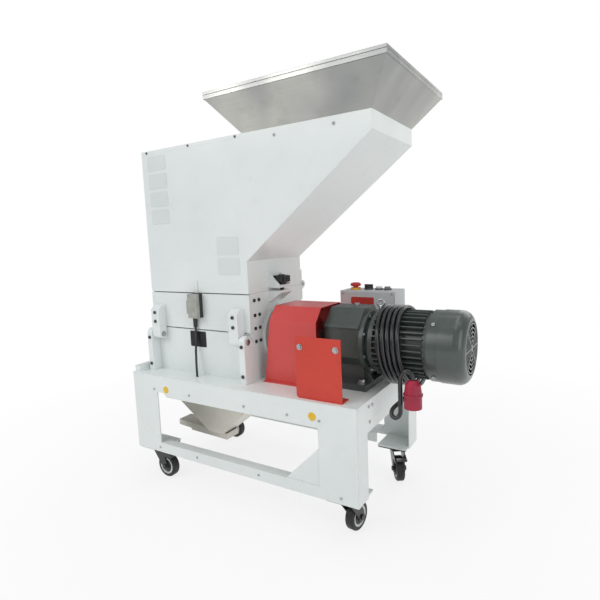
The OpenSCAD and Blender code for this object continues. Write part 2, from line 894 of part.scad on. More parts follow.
claw_pitch = (inner_x1 - inner_x0) / (claw_n + 1);
claw_r = claw_d / 2;
roll_r = roll_d / 2;

module fixed_knives() color("lightsteelblue") place()
    difference() {
        for (m = [0, 1]) translate([0, axis_y, 0]) mirror([0, m, 0])
            along_x(inner_x0, inner_x1)
                polygon([[-axis_y + inner_y0, axis_z - knife_t / 2],
                    [-roll_r - knife_gap - knife_bevel, axis_z - knife_t / 2],
                    [-roll_r - knife_gap, axis_z + knife_t / 2 - knife_bevel],
                    [-roll_r - knife_gap, axis_z + knife_t / 2],
                    [-axis_y + inner_y0, axis_z + knife_t / 2]]);
        for (i = [1 : claw_n])
            translate([inner_x0 + i * claw_pitch - claw_t / 2 - claw_side_gap, axis_y, axis_z])
                xcyl(claw_r + claw_side_gap, claw_t + 2 * claw_side_gap);
    }

module rotor_shaft() color("silver") place() {
    x0 = chamber_x - flange_t - housing_t + shaft_end_in;
    translate([x0, axis_y, axis_z]) xcyl(shaft_r, coupling_x + hub_len - x0);
    translate([coupling_x + hub_len + spider_t, axis_y, axis_z])
        xcyl(gear_shaft_r, gear_x + gear_shaft_in - coupling_x - hub_len - spider_t);
}

// A claw blade: a disc cut back to two hooked arms round a solid core
module claw_profile()
    difference() {
        union() {
            difference() {
                circle(r = claw_r);
                for (a = [0, 180]) rotate(a) {
                    translate([claw_cut_share * claw_r, 0]) circle(r = claw_cut_r_share * claw_r);
                    rotate(claw_relief_turn) translate([claw_relief_share * claw_r, 0])
                        circle(r = claw_relief_r_share * claw_r);
                }
            }
            circle(r = claw_core_share * claw_r);
        }
        circle(r = shaft_r + fine);
    }

// A saw toothed roll: each tooth rises along its back and drops at its cutting edge
module roll_profile()
    difference() {
        polygon([for (i = [0 : roll_teeth - 1], k = [0, 1])
            let (a = (i + k * roll_back_share) * 360 / roll_teeth,
                r = k == 0 ? roll_r - roll_tooth_h : roll_r)
            r * [cos(a), sin(a)]]);
        circle(r = shaft_r + fine);
    }

module cutting_rotor() color("lightsteelblue") place()
    translate([0, axis_y, axis_z]) {
        for (i = [1 : claw_n])
            translate([inner_x0 + i * claw_pitch - claw_t / 2, 0, 0]) rotate([90, 0, 90])
                linear_extrude(claw_t) rotate(i * 180 / claw_n) claw_profile();
        for (i = [0 : claw_n]) {
            x0 = inner_x0 + i * claw_pitch + (i == 0 ? roll_gap : claw_t / 2 + fine);
            x1 = inner_x0 + (i + 1) * claw_pitch - (i == claw_n ? roll_gap : claw_t / 2 + fine);
            translate([x0, 0, 0]) rotate([90, 0, 90]) linear_extrude(x1 - x0)
                rotate(i * roll_step_share * 360 / roll_teeth) roll_profile();
        }
    }

module bearing(x, dir) {
    x0 = dir > 0 ? x : x - flange_t;
    x1 = dir > 0 ? x + flange_t : x - flange_t - housing_t;
    difference() {
        union() {
            translate([x0, axis_y, axis_z]) xcyl(flange_r, flange_t);
            translate([x1, axis_y, axis_z]) xcyl(housing_r, housing_t);
        }
        translate([min(x0, x1) - over, axis_y, axis_z])
            xcyl(shaft_r + run, flange_t + housing_t + 2 * over);
    }
}

module bearing_housings() color("whitesmoke") place() {
    bearing(chamber_x1, 1);
    bearing(chamber_x, -1);
}

module chamber_screws() color("dimgray") place() {
    for (m = [0, 1]) translate([chamber_x + chamber_w / 2, 0, 0]) mirror([m, 0, 0]) {
        for (y = plate_caps_y, s = plate_cap_up_share)
            translate([chamber_w / 2, y, deck_z + s * chamber_h]) rotate([0, 90, 0]) cap_screw();
        for (s = ear_cap_up_share)
            translate([chamber_w / 2 - plate_t / 2, pin_y - knuckle_r, deck_z + s * lower_panel_h])
                rotate([90, 0, 0]) cap_screw();
        for (i = [0 : housing_bolts - 1]) {
            a = (i + 1 / 2) * 360 / housing_bolts;
            translate([chamber_w / 2 + flange_t, axis_y + housing_bolt_share * flange_r * cos(a),
                axis_z + housing_bolt_share * flange_r * sin(a)]) rotate([0, 90, 0]) cap_screw();
        }
    }
}

// Hopper
hop_z0 = chamber_z1 + seat_gap;
hop_z1 = chamber_z1 + hopper_h;
neck_z = hop_z0 + neck_h;
reach_x = chamber_x1 + hopper_reach;
end_z = hop_z1 - hopper_end_h;
slope = (end_z - neck_z) / hopper_reach;
slope_in = hopper_t * sqrt(1 + slope * slope);
mouth_x0 = reach_x - mouth_l;

module hopper_body() color("whitesmoke") place()
    difference() {
        along_y(chamber_y, chamber_y1)
            polygon([[chamber_x, hop_z0], [chamber_x1, hop_z0], [chamber_x1, neck_z],
                [reach_x, end_z], [reach_x, hop_z1], [mouth_x0, hop_z1],
                [mouth_x0, hop_z1 - cover_t], [chamber_x, hop_z1 - cover_t]]);
        along_y(chamber_y + hopper_t, chamber_y1 - hopper_t)
            polygon([[chamber_x + hopper_t, hop_z0 - over], [chamber_x1 - hopper_t, hop_z0 - over],
                [chamber_x1 - hopper_t, neck_z - slope * hopper_t + slope_in],
                [reach_x - hopper_t, end_z - slope * hopper_t + slope_in],
                [reach_x - hopper_t, hop_z1 + over], [chamber_x + hopper_t, hop_z1 + over]]);
    }

module hopper_cover() color("whitesmoke") place()
    difference() {
        block(chamber_x, mouth_x0, chamber_y, chamber_y1, hop_z1 - cover_t, hop_z1);
        block(chamber_x + hopper_t, mouth_x0 + over, chamber_y + hopper_t, chamber_y1 - hopper_t,
            hop_z1 - cover_t - over, hop_z1 - hopper_t);
    }

module feed_funnel() color("gainsboro") place() {
    low = [mouth_x0, reach_x, chamber_y, chamber_y1];
    top = [mouth_x0 - flare_x, reach_x + flare_x, chamber_y - flare_y, chamber_y1 + flare_y];
    z1 = hop_z1 + funnel_h;
    taper_shell(low, inset(top, rim_t - funnel_t - rim_lap), hop_z1, z1 - rim_h, funnel_t);
    difference() {
        block(top[0], top[1], top[2], top[3], z1 - rim_h, z1);
        block(top[0] + rim_t, top[1] - rim_t, top[2] + rim_t, top[3] - rim_t,
            z1 - rim_h - over, z1 + over);
        difference() {
            block(top[0] - over, top[1] + over, top[2] - over, top[3] + over,
                z1 - rim_step - rim_groove, z1 - rim_step);
            block(top[0] + rim_groove, top[1] - rim_groove, top[2] + rim_groove,
                top[3] - rim_groove, z1 - rim_step - rim_groove - over, z1 - rim_step + over);
        }
    }
}

module hopper_screws() color("black") place() {
    for (s = cover_screw_share)
        translate([chamber_x + s * (mouth_x0 - chamber_x), chamber_y, hop_z1 - cover_screw_drop])
            rotate([90, 0, 0]) cylinder(r = screw_r, h = screw_h);
    for (s = cover_screw_share)
        translate([chamber_x + s * (mouth_x0 - chamber_x), chamber_y1, hop_z1 - cover_screw_drop])
            ycyl(screw_r, screw_h);
}

lug_z = hop_z0 + lug_up;

module hopper_brackets() color("white") place() {
    for (x = hinge_x) hinge_part(x, false);
    difference() {
        lug(lug_z, lug_z + lug_t - fine, lug_z + lug_t + lug_web_h);
        translate([rod_x, rod_y, lug_z - over]) cylinder(r = rod_r + run, h = lug_t + 2 * over);
    }
    block(switch_x + key_in, switch_x + key_in + key_w, chamber_y - key_t, chamber_y,
        deck_z + switch_low + switch_h + key_gap, deck_z + switch_low + switch_h + key_gap + key_h);
}

module star_knob() color("black") place()
    translate([rod_x, rod_y, 0]) {
        z0 = lug_z + lug_t + run;
        translate([0, 0, chamber_z1 - lug_t + rod_tip]) cylinder(r = rod_r, h = z0 - chamber_z1 + lug_t);
        translate([0, 0, z0]) cylinder(r = knob_hub_r, h = knob_hub_h);
        translate([0, 0, z0 + knob_hub_h]) {
            difference() {
                cylinder(r = knob_r, h = knob_h);
                for (i = [0 : knob_lobes - 1])
                    rotate(i * 360 / knob_lobes) translate([knob_r + knob_lobe_r / 3, 0, -over])
                        cylinder(r = knob_lobe_r, h = knob_h + 2 * over);
            }
            translate([0, 0, knob_h - fine]) cylinder(r = knob_cap_r, h = knob_cap_h);
        }
    }

// Interlock
boot_x = lead_points[0][0];
boot_y = lead_points[0][1];
boot_z = lead_points[0][2];
switch_z = deck_z + switch_low;

module interlock_switch() color("black") place() {
    block(switch_x, switch_x + switch_w, chamber_y - switch_d, chamber_y, switch_z, switch_z + switch_h);
    block(switch_x - switch_side_w, switch_x, chamber_y - switch_d + key_t, chamber_y,
        switch_z + key_in, switch_z + key_in + switch_side_h);
    translate([boot_x, boot_y, switch_z - boot_h])
        cylinder(r1 = boot_r - 2 * seat_gap, r2 = boot_r, h = boot_h);
    translate([boot_x, boot_y, boot_z + seat_gap])
        cylinder(r = lead_d / 2, h = switch_z - boot_h / 2 - boot_z - seat_gap);
}

module interlock_lead() color("black") place()
    tube(lead_points, lead_d / 2, lead_sides, [1, 0, 0]);

// Coupling, guard and shield
hub2_x = coupling_x + hub_len + spider_t;

module coupling() color("tomato") place()
    translate([0, axis_y, axis_z])
        difference() {
            union() {
                translate([coupling_x, 0, 0]) xcyl(hub_rad, hub_len);
                translate([coupling_x + hub_len - disc_t, 0, 0]) xcyl(disc_rad, disc_t);
                translate([coupling_x + hub_len - fine, 0, 0]) xcyl(disc_rad - spider_in, spider_t + 2 * fine);
                translate([hub2_x, 0, 0]) xcyl(disc_rad, disc_t);
                translate([hub2_x, 0, 0]) xcyl(hub_rad, hub_len);
            }
            translate([coupling_x - over, 0, 0]) xcyl(shaft_r + fine, hub_len + over + fine);
            translate([hub2_x - fine, 0, 0]) xcyl(gear_shaft_r + fine, hub_len + over + fine);
        }

guard_x1 = guard_x + guard_l;
guard_y0 = chamber_y + guard_front;
guard_z1 = deck_z + guard_h;
guard_bend_z = guard_z1 - guard_chamfer_z;
guard_ys = [guard_y0, guard_y0 + guard_chamfer_y, guard_y0 + guard_chamfer_y + guard_top_w,
    guard_y0 + guard_chamfer_y + guard_top_w + guard_back_w];
function fold_in(a) = guard_t * tan(a / 2);

module coupling_guard() color("lightcoral") place() {
    a_front = atan(guard_chamfer_y / guard_chamfer_z);
    a_back = atan(guard_back_w / guard_chamfer_z);
    difference() {
        along_x(guard_x, guard_x1)
            polygon([[guard_ys[0], deck_z], [guard_ys[0], guard_bend_z], [guard_ys[1], guard_z1],
                [guard_ys[2], guard_z1], [guard_ys[3], guard_bend_z], [guard_ys[3], deck_z]]);
        along_x(guard_x - over, guard_x1 + over)
            polygon([[guard_ys[0] + guard_t, deck_z - over],
                [guard_ys[0] + guard_t, guard_bend_z - fold_in(a_front)],
                [guard_ys[1] + fold_in(90 - a_front), guard_z1 - guard_t],
                [guard_ys[2] - fold_in(90 - a_back), guard_z1 - guard_t],
                [guard_ys[3] - guard_t, guard_bend_z - fold_in(a_back)],
                [guard_ys[3] - guard_t, deck_z - over]]);
        along_y(guard_y0 - guard_foot, guard_ys[3] + guard_foot)
            polygon([[guard_x - over, deck_z - over], [guard_x, deck_z], [guard_x + guard_skew, guard_bend_z],
                [guard_x + guard_skew, guard_z1 + over], [guard_x - over, guard_z1 + over]]);
    }
    for (y = [guard_ys[0] - guard_foot, guard_ys[3] - fine])
        block(guard_x, guard_x1, y, y + guard_foot + fine, deck_z, deck_z + guard_t);
}

module drive_shield() color("orangered") place() {
    difference() {
        block(shield_x, shield_x + shield_w, shield_y, shield_y + shield_t, deck_z, deck_z + shield_h);
        translate([shield_x, shield_y - over, deck_z])
            difference() {
                cube([shield_round, shield_t + 2 * over, shield_round]);
                translate([shield_round, -over, shield_round]) ycyl(shield_round, shield_t + 4 * over);
            }
    }
    block(shield_x + shield_w - shield_foot_w, shield_x + shield_w, shield_y + shield_t - fine,
        shield_y + shield_t + shield_foot_d, deck_z, deck_z + shield_t);
}

module guard_screws() {
    for (s = guard_rivet_share, y = [guard_ys[0] - guard_foot / 2, guard_ys[3] + guard_foot / 2])
        translate([guard_x + s * guard_l, y, deck_z + guard_t]) cylinder(r = screw_r, h = screw_h);
    for (x = [shield_x + shield_cap_in, shield_x + shield_w - shield_cap_in])
        translate([x, shield_y, deck_z + shield_h - shield_cap_drop]) rotate([90, 0, 0]) {
            cylinder(r = washer_r, h = washer_t);
            translate([0, 0, washer_t - fine]) cylinder(r = cap_r, h = cap_h);
        }
    translate([shield_x + shield_w - shield_foot_w / 2, shield_y + shield_t + shield_foot_d / 2,
        deck_z + shield_t]) cylinder(r = washer_r, h = cap_h);
}

// Gear housing and motor
gear_x1 = motor_x0 - adapter_l;
gear_half = gear_w / 2;
gear_shoulder = gear_top - gear_chamfer;
function gear_at(z) = gear_half - max(0, z - gear_shoulder);

module gear_housing() color("darkslategray") place()
    translate([0, axis_y, axis_z])
        difference() {
            union() {
                along_x(gear_x, gear_x1) {
                    polygon([[-gear_web_w / 2, -shaft_h + gear_foot_t], [gear_web_w / 2, -shaft_h + gear_foot_t],
                        [gear_web_w / 2, -gear_low], [gear_half, -gear_low + gear_half - gear_web_w / 2],
                        [gear_half, gear_shoulder], [gear_half - gear_chamfer, gear_top],
                        [-gear_half + gear_chamfer, gear_top], [-gear_half, gear_shoulder],
                        [-gear_half, -gear_low + gear_half - gear_web_w / 2], [-gear_web_w / 2, -gear_low]]);
                    polygon([[-gear_at(gear_ledge_z) - gear_ledge_out, gear_ledge_z],
                        [gear_at(gear_ledge_z) + gear_ledge_out, gear_ledge_z],
                        [gear_at(gear_ledge_z + gear_ledge_t) + gear_ledge_out, gear_ledge_z + gear_ledge_t],
                        [-gear_at(gear_ledge_z + gear_ledge_t) - gear_ledge_out,
                            gear_ledge_z + gear_ledge_t]]);
                }
                block(gear_x, motor_x0 - foot_in, -gear_foot_w / 2, gear_foot_w / 2, -shaft_h,
                    -shaft_h + gear_foot_t + fine);
                for (y = [-gear_web_w / 2 + foot_t, gear_web_w / 2 - 2 * foot_t])
                    along_y(y, y + foot_t)
                        polygon([[gear_x1 - foot_rib, -shaft_h + gear_foot_t],
                            [motor_x0 - foot_in, -shaft_h + gear_foot_t],
                            [gear_x1, -gear_low], [gear_x1 - foot_rib, -gear_low]]);
                translate([gear_x1 - fine, 0, 0]) xcyl(adapter_neck_r, adapter_l + fine);
                translate([gear_x1 - fine, 0, 0]) xcyl(adapter_r, adapter_t + fine);
                translate([gear_x - boss_l, 0, 0]) xcyl(boss_r, boss_l + fine);
            }
            translate([gear_x - boss_l - over, 0, 0])
                xcyl(gear_shaft_r + run, boss_l + gear_shaft_in + 2 * over);
        }

module gear_fittings() color("silver") place() {
    for (x = [gear_x + foot_bolt_in, motor_x0 - foot_in - foot_bolt_in],
        y = [-gear_foot_w / 2 + foot_bolt_in / 2 + foot_t, gear_foot_w / 2 - foot_bolt_in / 2 - foot_t])
        translate([x, axis_y + y, deck_z + gear_foot_t + fine]) {
            cylinder(r = foot_washer_r, h = foot_washer_t + fine);
            translate([0, 0, foot_washer_t]) cylinder(r = foot_bolt_r, h = foot_bolt_h, $fn = 6);
        }
    translate([gear_x + gear_l / 2, axis_y, axis_z + gear_top]) cylinder(r = breather_r, h = breather_h);
    for (i = [0 : adapter_bolts - 1]) {
        a = (i + 1 / 2) * 360 / adapter_bolts;
        translate([gear_x1 + adapter_t, axis_y + adapter_bolt_share * adapter_r * cos(a),
            axis_z + adapter_bolt_share * adapter_r * sin(a)]) rotate([0, 90, 0]) cap_screw(screw_r + socket_r);
    }
    translate([motor_x0 + eye_in, axis_y, axis_z + bell_r - over]) {
        cylinder(r = eye_stem_r, h = eye_stem_h + over);
        translate([0, eye_t / 2, eye_stem_h + eye_r]) rotate([90, 0, 0])
            rotate_extrude() translate([eye_r - eye_t / 2, eye_t / 2]) circle(r = eye_t / 2, $fn = 24);
    }
}

module motor_housing() color("darkslategray") place()
    translate([0, axis_y, axis_z])
        difference() {
            union() {
                translate([motor_x0, 0, 0]) xcyl(barrel_r, motor_l);
                translate([motor_x0, 0, 0]) xcyl(bell_r, bell_l);
                translate([motor_x1 - bell_l, 0, 0]) xcyl(bell_r, bell_l);
                translate([motor_x1 - fine, 0, 0])
                    difference() {
                        xcyl(cowl_d / 2 - cowl_t - fine, cowl_seat);
                        translate([cowl_t, 0, 0]) xcyl(bell_r - cowl_t, cowl_seat);
                    }
                for (i = [0 : fin_n - 1])
                    rotate([i * 360 / fin_n, 0, 0])
                        block(motor_x0 + bell_l - over, motor_x1 - bell_l + over, -fin_t / 2, fin_t / 2,
                            barrel_r - over, motor_d / 2);
            }
            translate([motor_x1 - motor_shaft_in - over, 0, 0])
                xcyl(motor_shaft_r + run, motor_shaft_in + cowl_t + 2 * over);
            translate([motor_x0 + eye_in, 0, bell_r - over])
                cylinder(r = eye_stem_r + fine, h = motor_d / 2 - bell_r + 2 * over);
        }

module motor_fan() color("dimgray") place()
    translate([motor_x1, axis_y, axis_z]) {
        translate([-motor_shaft_in, 0, 0]) xcyl(motor_shaft_r, motor_shaft_in + fan_gap + fan_l);
        translate([fan_gap, 0, 0]) {
            xcyl(fan_hub_r, fan_l + fan_blade_t);
            xcyl(fan_r, fan_blade_t);
            for (i = [0 : fan_blades - 1])
                rotate([i * 360 / fan_blades, 0, 0])
                    block(0, fan_l, -fan_blade_t / 2, fan_blade_t / 2,
                        fan_hub_r - fan_blade_t, fan_r - fan_blade_t);
        }
    }

module fan_cowl() color("darkslategray") place()
    translate([motor_x1, axis_y, axis_z]) {
        r = cowl_d / 2;
        mouth = r - cowl_round;
        arc = [for (i = [0 : cowl_arc_steps]) i * 90 / cowl_arc_steps];
        rotate([0, 90, 0]) rotate_extrude($fn = 72) polygon(concat(
            [[r - cowl_t, 0], [r - cowl_step_r / 2, 0], [r - cowl_step_r / 2, cowl_step], [r, cowl_step]],
            [for (a = arc) [mouth + cowl_round * cos(a), cowl_l - cowl_round + cowl_round * sin(a)]],
            [for (a = arc) [mouth + (cowl_round - cowl_t) * sin(a),
                cowl_l - cowl_round + (cowl_round - cowl_t) * cos(a)]]));
        for (i = [0 : grille_rings - 1]) {
            rr = grille_hub_r + (i + 1) * (mouth - grille_hub_r) / (grille_rings + 1 / 2);
            translate([cowl_l - grille_t, 0, 0]) difference() {
                xcyl(rr + grille_bar / 2, grille_t);
                translate([-over, 0, 0]) xcyl(rr - grille_bar / 2, grille_t + 2 * over);
            }
        }
        translate([cowl_l - grille_t, 0, 0]) xcyl(grille_hub_r, grille_t);
        for (i = [0 : grille_spokes - 1])
            rotate([i * 360 / grille_spokes, 0, 0])
                block(cowl_l - grille_t, cowl_l, -grille_bar / 2, grille_bar / 2, 0, mouth + fine);
        for (i = [0 : cowl_screws - 1])
            rotate([(i + 1 / 2) * 360 / cowl_screws, 0, 0]) translate([cowl_screw_in, 0, r - cowl_t])
                cylinder(r = cap_r, h = cap_h);
    }

// Control box
box_z1 = deck_z + box_top;
box_z0 = box_z1 - box_h;
body_y0 = box_y + lid_t + lid_gap;
body_y1 = box_y + box_d;
button_y = box_y + box_d * button_y_share;
stop_x = box_x + stop_x_share * box_w;
select_x = box_x + select_x_share * box_w;
start_x = box_x + start_x_share * box_w;
halt_x = box_x + halt_x_share * box_w;
bore_h = push_travel + stem_in + over;

module at_button(x) translate([x, button_y, box_z1]) children();

module control_box() color("silver") place()
    difference() {
        block(box_x, box_x + box_w, body_y0, body_y1, box_z0, box_z1);
        at_button(stop_x) translate([0, 0, -stem_in - stop_travel - over])
            cylinder(r = stop_neck_r + run, h = 2 * (stem_in + stop_travel + over));
        at_button(select_x) translate([0, 0, -bore_h]) cylinder(r = select_stem_r + run, h = 2 * bore_h);
        for (x = [start_x, halt_x])
            at_button(x) translate([0, 0, -bore_h]) cylinder(r = push_r + run, h = 2 * bore_h);
    }

module box_lid() color("silver") place()
    difference() {
        block(box_x, box_x + box_w, box_y, box_y + lid_t, box_z0, box_z1);
        for (x = [box_x + lid_screw_in, box_x + box_w - lid_screw_in],
            z = [box_z0 + lid_screw_in, box_z1 - lid_screw_in])
            translate([x, box_y - over, z]) ycyl(lid_screw_r, lid_edge + over);
        difference() {
            block(box_x - over, box_x + box_w + over, box_y - over, box_y + lid_edge,
                box_z0 - over, box_z1 + over);
            block(box_x + lid_edge, box_x + box_w - lid_edge, box_y - 2 * over, box_y + 2 * lid_edge,
                box_z0 + lid_edge, box_z1 - lid_edge);
        }
    }

module button_bases() color("gold") place() {
    at_button(stop_x) difference() {
        cylinder(r = stop_base_r, h = stop_base_h);
        translate([0, 0, -over]) cylinder(r = stop_neck_r + run, h = stop_base_h + 2 * over);
    }
    at_button(select_x) difference() {
        cylinder(r = select_base_r, h = select_base_h);
        translate([0, 0, -over]) cylinder(r = select_stem_r + run, h = select_base_h + 2 * over);
    }
    for (x = [start_x, halt_x]) at_button(x) difference() {
        cylinder(r = push_base_r, h = push_base_h);
        translate([0, 0, -over]) cylinder(r = push_r + run, h = push_base_h + 2 * over);
    }
}

module stop_button() color("red") place()
    at_button(stop_x) {
        z0 = stop_base_h + stop_travel + seat_gap;
        translate([0, 0, -stem_in]) cylinder(r = stop_neck_r, h = z0 + stem_in + fine);
        translate([0, 0, z0]) rotate_extrude() polygon([[0, 0], [stop_r - stop_round, 0],
            [stop_r, stop_round], [stop_r, stop_h - 2 * stop_round],
            [stop_r - stop_round, stop_h - stop_round / 2], [stop_r / 2, stop_h], [0, stop_h]]);
    }

module selector_knob() color("black") place()
    at_button(select_x) {
        translate([0, 0, -stem_in]) cylinder(r = select_stem_r, h = stem_in + select_base_h + seat_gap + fine);
        translate([0, 0, select_base_h + seat_gap]) {
            cylinder(r = select_r, h = select_h);
            translate([-select_r, -grip_w / 2, select_h - fine]) cube([2 * select_r, grip_w, grip_h]);
        }
    }

module push_button(x)
    at_button(x) translate([0, 0, -stem_in]) cylinder(r = push_r, h = stem_in + push_base_h + push_h);

module start_button() color("white") place() push_button(start_x);
module halt_button() color("gray") place() push_button(halt_x);

// Discharge
chute_x0 = chamber_x + chute_in_x;
chute_x1 = chamber_x1 - chute_out_x;
chute_y0 = chamber_y + chute_in_y;
chute_y1 = chamber_y1 - chute_in_y;
chute_z = deck_low - chute_collar;
duct_y0 = duct_y - duct_w / 2;
duct_y1 = duct_y + duct_w / 2;
duct_points = [[duct_x0, duct_low_z0], [duct_step_x, duct_low_z1 + duct_step], [duct_step_x, duct_low_z1],
    [duct_x1, duct_low_z2], [duct_x1, duct_top_z1], [duct_x0, duct_top_z0]];

module discharge_chute() color("silver") place()
    difference() {
        union() {
            rim = [chute_x0, chute_x1, chute_y0, chute_y1];
            taper_shell([chute_mouth_x0, chute_mouth_x1, duct_y0 - chute_side, duct_y1 + chute_side],
                inset(rim, chute_lap), chute_low_z, chute_z, chute_t);
            difference() {
                union() {
                    block(chute_x0, chute_x1, chute_y0, chute_y1, chute_z, deck_low);
                    block(chute_x0 - chute_flange, chute_x1 + chute_flange, chute_y0 - chute_flange,
                        chute_y1 + chute_flange, deck_low - chute_t, deck_low);
                }
                block(chute_x0 + chute_t, chute_x1 - chute_t, chute_y0 + chute_t, chute_y1 - chute_t,
                    chute_z - over, deck_low + over);
            }
        }
        along_y(duct_y0 - fine, duct_y1 + fine) polygon(duct_points);
    }

module outlet_duct() color("silver") place()
    difference() {
        along_y(duct_y0, duct_y1) polygon(duct_points);
        along_y(duct_y0 + duct_t, duct_y1 - duct_t) polygon([
            [duct_x0 - over, duct_low_z0 + duct_t], [duct_step_x + duct_t, duct_low_z1 + duct_step + duct_t],
            [duct_step_x + duct_t, duct_low_z1 + duct_t], [duct_x1 - duct_t, duct_low_z2 + duct_t],
            [duct_x1 - duct_t, duct_top_z1 - duct_t], [duct_x0 - over, duct_top_z0 - duct_t]]);
        block(chute_mouth_x0 + chute_t, chute_mouth_x1 - chute_t, duct_y0 + duct_t, duct_y1 - duct_t,
            duct_top_z1 - duct_t - over, duct_top_z0 + over);
    }

// Power cord
wind_start = [wind_x + wind_lean, wind_y, wind_z - wind_rz];
wind_end = wind_start + [cord_turns * wind_pitch, 0, 0];
wind_line = concat([wind_start + [0, cord_d, 0], wind_start],
    [for (i = [1 : cord_turns * wind_rings - 1])
        let (s = i * 360 / wind_rings)
        [wind_x + wind_pitch * s / 360 + wind_lean * cos(s), wind_y - wind_ry * sin(s),
            wind_z - wind_rz * cos(s)]],
    [wind_end, wind_end - [0, cord_d, 0]]);
gland_x = box_x + box_w + gland_hex_l + gland_l;
feed_line = concat([[gland_x, button_y, feed_points[0][2]]], feed_points,
    [wind_start + [0, 2 * cord_d, 0], wind_start + [0, cord_d, 0]]);
tail_line = concat([wind_end - [0, cord_d, 0]], tail_points, [[plug_x, plug_y, plug_top]]);
wind_gap = min([for (i = [0 : len(wind_line) - 1])
    for (j = [i + wind_rings / 2 : len(wind_line) - 1]) norm(wind_line[i] - wind_line[j])]) - cord_d;
echo("least gap of the winding to itself in mm", wind_gap);

module cord_gland() color("black") place() {
    translate([box_x + box_w, button_y, feed_points[0][2]]) {
        xcyl(gland_hex_r, gland_hex_l, $fn = 6);
        translate([gland_hex_l - fine, 0, 0]) xcyl(gland_r, gland_l + fine);
    }
    lead_top = lead_points[len(lead_points) - 1];
    translate(lead_top) cylinder(r = lead_d, h = box_z0 - lead_top[2]);
}

module cord_feed() color("black") place()
    tube(feed_line, cord_d / 2, cord_sides, [0, 0, 1]);

module cord_winding() color("black") place()
    tube(wind_line, cord_d / 2, wind_sides, [0, 0, 1]);

module cord_tail() color("black") place()
    tube(tail_line, cord_d / 2, cord_sides, [0, 0, 1]);

module plug() color("crimson") place()
    translate([plug_x, plug_y, plug_top - plug_l]) {
        difference() {
            rotate_extrude() polygon([[0, 0], [plug_r, 0], [plug_r, plug_skirt_l],
                [plug_collar_r, plug_skirt_l], [plug_collar_r, plug_skirt_l + plug_collar_l],
                [plug_r, plug_skirt_l + plug_collar_l], [plug_r - plug_wall, plug_l - plug_neck_l],
                [plug_neck_r, plug_l - plug_wall], [plug_neck_r - plug_wall, plug_l], [0, plug_l]]);
            translate([0, 0, -over]) cylinder(r = plug_r - plug_wall, h = plug_socket + over);
        }
        for (i = [0 : plug_pins - 1])
            rotate(i * 360 / plug_pins) translate([plug_pin_ring, 0, plug_wall])
                cylinder(r = plug_pin_r, h = plug_socket - plug_wall + fine);
    }

deck();
front_frame();
rear_frame();
side_frames();
frame_brackets();
frame_screws();
caster_plates();
caster_fork_fl();
caster_fork_fr();
caster_fork_bl();
caster_fork_br();
caster_wheel_fl();
caster_wheel_fr();
caster_wheel_bl();
caster_wheel_br();
brake_pedal_fl();
brake_pedal_br();
side_plate_left();
side_plate_right();
rear_panel();
lower_panel();
front_door();
hinge_arms();
door_screws();
hinge_pins();
fixed_knives();
rotor_shaft();
cutting_rotor();
bearing_housings();
chamber_screws();
hopper_body();
hopper_cover();
hopper_screws();
feed_funnel();
hopper_brackets();
star_knob();
interlock_switch();
interlock_lead();
coupling();
coupling_guard();
drive_shield();
gear_housing();
gear_fittings();
motor_housing();
motor_fan();
fan_cowl();
discharge_chute();
outlet_duct();
control_box();
box_lid();
button_bases();
stop_button();
selector_knob();
start_button();
halt_button();
cord_gland();
cord_feed();
cord_winding();
cord_tail();
plug();
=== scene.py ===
import json
import math

import bmesh
import bpy
from mathutils import Matrix, Vector


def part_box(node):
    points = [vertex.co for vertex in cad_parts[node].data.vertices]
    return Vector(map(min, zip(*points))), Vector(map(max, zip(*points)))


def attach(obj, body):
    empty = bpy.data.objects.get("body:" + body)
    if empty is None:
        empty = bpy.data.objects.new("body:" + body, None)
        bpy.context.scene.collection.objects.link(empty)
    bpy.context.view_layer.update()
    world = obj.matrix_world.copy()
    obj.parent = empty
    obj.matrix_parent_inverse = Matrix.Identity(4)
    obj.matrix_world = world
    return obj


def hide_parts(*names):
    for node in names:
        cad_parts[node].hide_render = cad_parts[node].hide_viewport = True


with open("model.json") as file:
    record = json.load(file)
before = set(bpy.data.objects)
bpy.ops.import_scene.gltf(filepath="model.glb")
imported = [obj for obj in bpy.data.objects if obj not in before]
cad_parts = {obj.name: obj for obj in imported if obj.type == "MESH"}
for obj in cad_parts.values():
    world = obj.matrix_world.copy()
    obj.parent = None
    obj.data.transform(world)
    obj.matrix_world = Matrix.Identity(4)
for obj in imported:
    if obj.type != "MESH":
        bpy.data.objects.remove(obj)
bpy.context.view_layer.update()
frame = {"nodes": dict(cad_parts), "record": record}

NODES = frame["nodes"]

# From the base's left end and front face to the CAD origin, in metres
MID_X, MID_Y = 0.4965, 0.2185

# Places in millimetres from the base's left end, its front face and the floor
AXIS_Y, AXIS_Z = 211, 471
COWL_R, COWL_SCREW_X = 92, 917
CHAMBER_Y = 72

# How far each caster is turned about its race, in degrees
SWIVEL_TURNS = {"fl": 0, "fr": 82, "bl": 0, "br": -58}


def P(x, y, z):
    """A point given in millimetres from the base's left end, its front face and the floor."""
    return Vector((x / 1000 - MID_X, y / 1000 - MID_Y, z / 1000))


def add_object(name, data):
    o = bpy.data.objects.new(name, data)
    bpy.context.collection.objects.link(o)
    return o


def add_node(tree, kind, **values):
    n = tree.nodes.new(kind)
    for k, v in values.items():
        setattr(n, k, v)
    return n


# Camera at the photograph's viewing angle, as fitted to it
PHOTO_SIDE = 600
FOCAL_PX = 468.16
AXIS_PX = (297.67, 296.5)
SENSOR = 36
AZIMUTH, PITCH_DOWN, ROLL = 32.1, 6.96, -2.33
CAMERA_AT = (1228.97, -952.24, 750.64)


